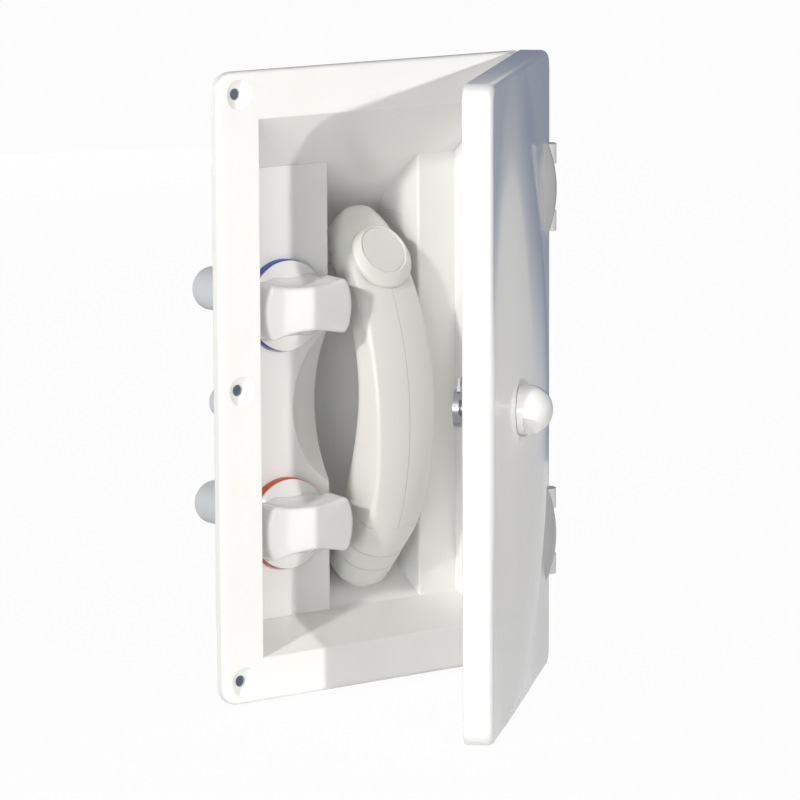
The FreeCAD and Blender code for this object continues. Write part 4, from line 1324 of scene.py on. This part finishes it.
@dataclass
class HandShower(Assembly):
    """The curved hand shower: two arcs seen from the side, down to a straight tail.

    Attributes:
        x: its middle plane.
        arc_y: depth of the upper arc's centre.
        arc_z: height of that centre.
        upper_radius: of the upper arc, at the front of the hand shower.
        lower_radius: of the lower arc.
        join: angle above the level at which the arcs meet.
        head_angle: angle of the head's axis.
        shell_end: angle at which the shells end.
        nose_length: from the head's axis to the tip, along the arc.
        nose_fullness: power of the nose's oval outline.
        nose_round: radius of the nose's edges.
        nose_tip: share of the nose's length at which its first section stands.
        corner_share: largest radius of a section's corners, as a share of its half width.
        nose_rows: how many sections the nose has.
        handle_rows: how many sections the rest has.
        bezel_opening: radius of the opening under the frame round the button.
        bezel_depth: how far in that opening reaches.
        bezel_rows: how many circles its slope has.
        bezel_points: how many points each of them has.
        spray_opening: radius of the opening under the spray plate.
        spray_depth: how far in that opening starts.
        nozzle_depth: how far in the nozzles stand on the spray plate.
        nozzle_spacing: from one ring of nozzles to the next.
        nozzle_counts: how many nozzles stand in the middle and in each ring.
        nozzle_points: how many points each of a nozzle's circles has.
        spring_radius: of the button's spring, outside.
        spring_wire: radius of its wire.
        spring_turns: how many turns it has.
        spring_flat: how many turns at each end lie flat.
        spring_gap: how much of the wire's radius those turns rise by in a turn.
        spring_steps: how many sections a turn has.
        wire_points: how many points each section has.
        spring_foot: depth of its foot behind the head's front.
        spring_length: its length when the button is out.
        button_travel: how far the button goes in.
    """

    body: str = "hand_shower"
    x: float = 23.0
    arc_y: float = 168.1
    arc_z: float = -29.424
    upper_radius: float = 170.0
    lower_radius: float = 90.0
    join: float = -18.0
    head_angle: float = 32.4
    shell_end: float = -23.5
    nose_length: float = 33.8
    nose_fullness: float = 2.5
    nose_round: float = 6.0
    nose_tip: float = 0.9999
    corner_share: float = 0.7
    nose_rows: int = 39
    handle_rows: int = 110
    bezel_opening: float = 14.4
    bezel_depth: float = 6.0
    bezel_rows: int = 64
    bezel_points: int = 144
    spray_opening: float = 14.9
    spray_depth: float = 16.0
    nozzle_depth: float = 22.4
    nozzle_spacing: float = 4.2
    nozzle_counts: tuple[int, ...] = (1, 6, 12, 18)
    nozzle_points: int = 20
    spring_radius: float = 6.0
    spring_wire: float = 0.6
    spring_turns: int = 4
    spring_flat: float = 0.8
    spring_gap: float = 0.4
    spring_steps: int = 48
    wire_points: int = 12
    spring_foot: float = 6.0
    spring_length: float = 7.4
    button_travel: float = 2.5

    def line(self, angle: Grid) -> tuple[Grid, Grid]:
        """The front line and the way in from it.

        Each place lies on a circle: the upper one above the join, the lower one below it. The way in
        points at the circle's centre.

        Args:
            angle: above the level.

        Returns:
            Places and ways in, each places x 3.
        """
        a, j = np.radians(angle), math.radians(self.join)
        shift = np.where(angle >= self.join, 0.0, self.upper_radius - self.lower_radius)[:, None]
        radius = np.where(angle >= self.join, self.upper_radius, self.lower_radius)[:, None]
        centre = np.array([self.x, self.arc_y, self.arc_z])
        centre = centre + shift * np.array([0.0, -math.cos(j), math.sin(j)])
        outward = np.stack([np.zeros_like(a), -np.cos(a), np.sin(a)], -1)
        return centre + radius * outward, -outward

    def carry(self, places: Grid, inward: Grid, sections: Ovals, side: float) -> Grid:
        """Carries one half of the sections along the front line.

        Args:
            places: where each section's front lies.
            inward: each section's way in.
            sections: the sections.
            side: -1 for the left half, 1 for the right one.

        Returns:
            The surface, sections x places x 3.
        """
        across, depth = sections.half()
        sideways = across[..., None] * (RIGHT * side)
        return places[:, None, :] + sideways + depth[..., None] * inward[:, None, :]

    def shell_rows(self) -> tuple[Grid, Grid, Ovals]:
        """Front line and sections from the tip of the nose to the collar.

        The nose's half width is w (1 - s^n)^(1/n) at the share s of its length, so that its outline is
        half of a full oval. Its edges turn in by a quarter circle towards the tip.

        Returns:
            Places, ways in, and sections.
        """
        share = np.sin(np.linspace(QUARTER_TURN, 0.0, self.nose_rows + 1))[:-1]
        share[0] = self.nose_tip
        room = np.minimum((1 - share) * self.nose_length, self.nose_round)
        edge = self.nose_round - np.sqrt(self.nose_round ** 2 - (self.nose_round - room) ** 2)
        full, thick, front_slope, front_corner, back_slope, back_corner = SHELL_SECTIONS[-1, 1:]
        width = full * (1 - share ** self.nose_fullness) ** (1 / self.nose_fullness)
        most = self.corner_share * width
        nose = (width, thick - 2 * edge, np.full_like(width, front_slope), np.minimum(front_corner, most),
                np.full_like(width, back_slope), np.minimum(back_corner, most))
        angle = np.linspace(self.head_angle, self.shell_end, self.handle_rows)
        handle = (cubic(angle, SHELL_SECTIONS[:, 0], column) for column in SHELL_SECTIONS[:, 1:].T)
        sections = Ovals(*(np.concatenate(pair) for pair in zip(nose, handle)))
        nose_angle = self.head_angle + np.degrees(share * self.nose_length / self.upper_radius)
        places, inward = self.line(np.concatenate([nose_angle, angle]))
        places = places + np.concatenate([edge, 0 * angle])[:, None] * inward
        return places, inward, sections

    def shell(self, side: float) -> bpy.types.Object:
        """One shell of the body, open where the button's frame and the spray plate sit.

        Args:
            side: -1 for the left one, 1 for the right one.

        Returns:
            The piece.
        """
        places, inward, sections = self.shell_rows()
        points = self.carry(places, inward, sections, side)
        head, out, _ = self.head_axes()
        middles = (points[:-1, :-1] + points[1:, :-1] + points[:-1, 1:] + points[1:, 1:]) / 4 - head
        depth = middles @ -out
        off_axis = np.linalg.norm(middles + depth[..., None] * out, axis=-1)
        keep = ~((depth < self.bezel_depth) & (off_axis < self.bezel_opening))
        keep &= ~((depth > self.spray_depth) & (off_axis < self.spray_opening))
        name = "handset_left_surface" if side < 0 else "handset_right_surface"
        return surface_object(name, points, keep=keep, crease=50.0, flip=side > 0)

    def head_axes(self) -> tuple[Grid, Grid, Grid]:
        """The head's own axes.

        Returns:
            Place of the head's front, the way out of it, and the way down along it.
        """
        place, inward = (v[0] for v in self.line(np.array([self.head_angle])))
        return place, -inward, np.cross(RIGHT, inward)

    def bezel(self) -> bpy.types.Object:
        """The frame round the button: a ring that slopes up from a wide foot to a narrow rim.

        Its foot's middle lies higher than its rim's, so that the slope is wide at the top and narrow
        below. Radius, height and shift of each circle follow a smooth curve through a few values.

        Returns:
            The piece.
        """
        place, out, down = self.head_axes()
        last = len(BEZEL_SLOPE) - 1.0
        t = np.linspace(0.0, last, self.bezel_rows)
        radius, height, shift = (cubic(t, np.arange(last + 1), column) for column in BEZEL_SLOPE.T)
        profile = np.concatenate([np.stack([radius, height], -1), BEZEL_WALL])
        shift = np.concatenate([shift, np.zeros(len(BEZEL_WALL))])
        points = turned(profile, place - shift[:, None] * down, out, RIGHT, self.bezel_points)
        return surface_object("button_bezel_surface", points, closed=True, crease=50.0, flip=True)

    def nozzles(self) -> bpy.types.Object:
        """Soft nozzles on the spray plate, in rings round the one in the middle.

        Returns:
            The piece.
        """
        place, out, down = self.head_axes()
        counts = np.array(self.nozzle_counts)
        ring = np.repeat(np.arange(len(counts)), counts)
        number = np.arange(counts.sum()) - (np.cumsum(counts) - counts)[ring]
        turn = FULL_TURN * number / counts[ring]
        across = np.cos(turn)[:, None] * RIGHT + np.sin(turn)[:, None] * down
        feet = place - self.nozzle_depth * out + self.nozzle_spacing * ring[:, None] * across
        return turned_copies("spray_nozzles", NOZZLE_PROFILE, feet, -out, self.nozzle_points)

    def spring(self) -> bpy.types.Object:
        """The coil spring behind the button: a round wire carried along a screw line.

        The line rises evenly in the middle turns, and hardly in the two end turns.

        Returns:
            The piece.
        """
        place, out, down = self.head_axes()
        wire, turns, flat = self.spring_wire, self.spring_turns, self.spring_flat
        slow = self.spring_gap * wire
        t = np.linspace(0.0, turns, self.spring_steps * turns + 1)
        share = np.clip((t - flat) / (turns - 2 * flat), 0.0, 1.0)
        ends = np.minimum(t, flat) + np.maximum(t - turns + flat, 0.0)
        height = wire + slow * ends + (self.spring_length - 2 * wire - slow - 2 * flat * slow) * share
        radial = np.cos(FULL_TURN * t)[:, None] * RIGHT + np.sin(FULL_TURN * t)[:, None] * down
        around = np.linspace(0.0, FULL_TURN, self.wire_points, endpoint=False)[None, :, None]
        middle = place + (height[:, None] - self.spring_foot) * out + (self.spring_radius - wire) * radial
        points = middle[:, None, :] + wire * (np.cos(around) * radial[:, None, :] + np.sin(around) * out)
        return surface_object("button_spring_coil", points, closed=True, crease=60.0)

    def build(self) -> None:
        """Makes and dresses the parts."""
        for side, node in ((-1.0, "handset_left_shell"), (1.0, "handset_right_shell")):
            self.add(self.shell(side), Finishes.HANDSET, "hand shower plastic", node)
        self.add(self.bezel(), Finishes.HEAD, "hand shower plastic", "button_bezel")
        self.smooth(Finishes.TAIL, "hand shower plastic", "tail_collar", "tail_end")
        self.smooth(Finishes.INNER, "inner plastic", "spray_plate")
        self.add(self.nozzles(), Finishes.NOZZLE, "seal rubber")
        self.dress(Finishes.INNER, "handset_valve", "water_tube")
        spring = self.add(self.spring(), Finishes.STEEL, "stainless steel", "button_spring")
        place, out, _ = self.head_axes()
        foot = (place - self.spring_foot * out) * MM
        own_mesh(spring)
        Assembly("button").smooth(Finishes.TAIL, "hand shower plastic", "spray_button")


# ---------------------------------------------------------------------------------------------
# Studio
# ---------------------------------------------------------------------------------------------


@dataclass(frozen=True)
class Lamp:
    """A round soft lamp that shines at the middle of the object.

    Attributes:
        name: its name.
        travel: the way its light travels.
        distance: from the object, in metres.
        size: its width, in metres.
        power: in watts.
        colour: of its light.
    """

    name: str
    travel: Triple
    distance: float
    size: float
    power: float
    colour: Colour

    def build(self) -> None:
        """Places the lamp."""
        data = bpy.data.lights.new(self.name, "AREA")
        data.shape, data.size, data.energy, data.color = "DISK", self.size, self.power, self.colour
        lamp = bpy.data.objects.new(self.name, data)
        way = Vector(self.travel).normalized()
        lamp.location = -way * self.distance
        lamp.rotation_mode = "QUATERNION"
        lamp.rotation_quaternion = way.to_track_quat("-Z", "Y")
        bpy.context.scene.collection.objects.link(lamp)


@dataclass(frozen=True)
class Studio:
    """Camera, lamps, floor and surrounding light.

    Attributes:
        lens: focal length of the camera.
        frame_width: width of its frame.
        clip: nearest and farthest distance that it sees, in metres.
        eye: its place, in metres.
        right: the picture's way to the right.
        up: the picture's way up.
        forward: the way the camera looks.
        sky: strength of the surrounding light.
        sky_colour: its colour.
        floor_half: half of the floor's width, in metres.
        floor_gap: how far it lies below the door, in metres.
        floor_colour: its colour in the light.
        floor_seen: how white it is to the camera, and through glass.
        floor_mirrored: how white it is in reflections.
        card_radius: from the middle to the reflection card.
        card_turns: angles from the right at which the card starts and ends.
        card_top: height of its upper edge.
        card_grid: how many rows and columns of points it has.
        card_light: its colour at the foot.
        card_dark: its colour at the top and at the left end.
        card_left: way into the wall against way to the right, where the dark starts and is full.
        card_high: heights at which the dark starts and is full.
        lamps: the lamps.
    """

    lens: float = 220.83
    frame_width: float = 36.0
    clip: Span = (0.05, 60.0)
    eye: Triple = (-1.58309, -2.10264, 0.41616)
    right: Triple = (0.79527504, -0.6062352, -0.00405995)
    up: Triple = (0.10113786, 0.12606631, 0.98685278)
    forward: Triple = (0.59775307, 0.78523001, -0.16157072)
    sky: float = 0.02
    sky_colour: Colour = (0.97, 0.985, 1.0)
    floor_half: float = 14.0
    floor_gap: float = 0.0005
    floor_colour: Colour = (0.86, 0.86, 0.86)
    floor_seen: float = 0.97
    floor_mirrored: float = 0.7
    card_radius: float = 700.0
    card_turns: Span = (12.0, 62.0)
    card_top: float = 330.0
    card_grid: tuple[int, int] = (21, 41)
    card_light: Colour = (0.79, 0.79, 0.84)
    card_dark: Colour = (0.13, 0.18, 0.30)
    card_left: Span = (0.3, 0.7)
    card_high: Span = (-190.0, 40.0)
    lamps: tuple[Lamp, ...] = (
        Lamp("front_lamp", (0.15, 1.0, -0.265), 2.6, 0.08, 28.0, (1.0, 0.985, 0.965)),
        Lamp("side_lamp", (0.936, 0.351, -0.41), 2.4, 0.15, 27.0, (1.0, 0.98, 0.95)),
        Lamp("top_lamp", (0.25, 0.55, -0.8), 2.2, 1.6, 1.5, (0.97, 0.985, 1.0)),
        Lamp("low_lamp", (0.92, 0.39, -0.02), 1.9, 0.7, 3.0, (1.0, 0.99, 0.97)),
        Lamp("fill_lamp", (0.78, 0.62, 0.04), 2.6, 1.2, 26.0, (0.98, 0.99, 1.0)),
        Lamp("back_lamp", (-0.35, -0.93, -0.05), 2.6, 1.6, 12.0, (0.98, 0.99, 1.0)),
    )

    def build(self) -> None:
        """Sets up the whole studio."""
        self.place_camera()
        self.lay_floor()
        self.stand_card()
        self.light_world()
        for lamp in self.lamps:
            lamp.build()
        bpy.context.scene.view_settings.view_transform = "Standard"

    def place_camera(self) -> None:
        """Puts the camera where the photograph was taken from."""
        data = bpy.data.cameras.new("camera")
        data.lens, data.sensor_width, data.sensor_fit = self.lens, self.frame_width, "HORIZONTAL"
        data.clip_start, data.clip_end = self.clip
        camera = bpy.data.objects.new("camera", data)
        turn = Matrix((self.right, self.up, -Vector(self.forward))).transposed().to_4x4()
        camera.matrix_world = Matrix.Translation(self.eye) @ turn
        bpy.context.scene.collection.objects.link(camera)
        bpy.context.scene.camera = camera

    def lay_floor(self) -> None:
        """Lays a plain pale floor just under the door, nearly white to the camera and in reflections."""
        half, level = self.floor_half, CAD_BOX[0].z - self.floor_gap
        flat = np.array([[-half, -half], [half, -half], [half, half], [-half, half]])
        floor = make_object("floor", with_depth(flat[None], level)[0], [(0, 1, 2, 3)])
        g = Graph(bpy.data.materials.new("pale_floor"))
        seen, mirrored, through = (
            g.wire("ShaderNodeLightPath", {}, {}, "Is %s Ray" % kind) * share
            for kind, share in (("Camera", self.floor_seen), ("Glossy", self.floor_mirrored),
                                ("Transmission", self.floor_seen)))
        paint = g.wire("ShaderNodeBsdfDiffuse", {}, {"Color": (*self.floor_colour, 1.0)})
        g.close(g.wire("ShaderNodeMixShader", {}, {0: seen + mirrored + through, 1: paint,
                                                   2: g.glow(WHITE)}))
        floor.data.materials.append(g.owner)

    def stand_card(self) -> None:
        """Stands a curved card behind the door, seen only as a mirror image in glossy faces.

        It is a part of an upright drum round the object: pale at its foot, and a deep blue grey
        towards its top and towards the left end.
        """
        rows, columns = self.card_grid
        turn = np.radians(np.linspace(*self.card_turns, columns))
        height = np.linspace(CAD_BOX[0].z / MM + 1.0, self.card_top, rows)
        arc = np.stack([np.cos(turn), np.sin(turn)], -1) * self.card_radius
        drum = np.broadcast_to(arc, (rows, columns, 2))
        card = surface_object("reflection_card", with_depth(drum, height[:, None, None]))
        g = Graph(bpy.data.materials.new("reflection_card"))
        x, y, z = g.axes()
        tiny = 0.001
        left = (y / (x + tiny)).ramp(*self.card_left)
        high = z.ramp(*self.card_high)
        shade = 1.0 - (1.0 - left) * (1.0 - high)
        g.close(g.glow(g.blend(shade, self.card_light, self.card_dark)))
        card.data.materials.append(g.owner)
        card.visible_camera = card.visible_diffuse = card.visible_shadow = False
        card.visible_transmission = False

    def light_world(self) -> None:
        """Gives an even light from all round, white to the camera and in reflections."""
        world = bpy.data.worlds.new("studio")
        bpy.context.scene.world = world
        g = Graph(world)
        seen, mirrored = (g.wire("ShaderNodeLightPath", {}, {}, "Is %s Ray" % kind)
                          for kind in ("Camera", "Glossy"))
        soft, white = (g.wire("ShaderNodeBackground", {}, {"Color": colour, "Strength": strength})
                       for colour, strength in (((*self.sky_colour, 1.0), self.sky), (WHITE, 1.0)))
        g.close(g.wire("ShaderNodeMixShader", {}, {0: seen + mirrored, 1: soft, 2: white}))


def main() -> None:
    """Builds the studio and every sub-assembly."""
    logging.basicConfig(level=logging.INFO, format="%(message)s")
    Studio().build()
    WallBox().build()
    Plumbing().build()
    Tap(Water.COLD, 38.0).build()
    Tap(Water.HOT, -82.0).build()
    Door().build()
    Latch().build()
    HandShower().build()


if __name__ == "__main__":
    main()
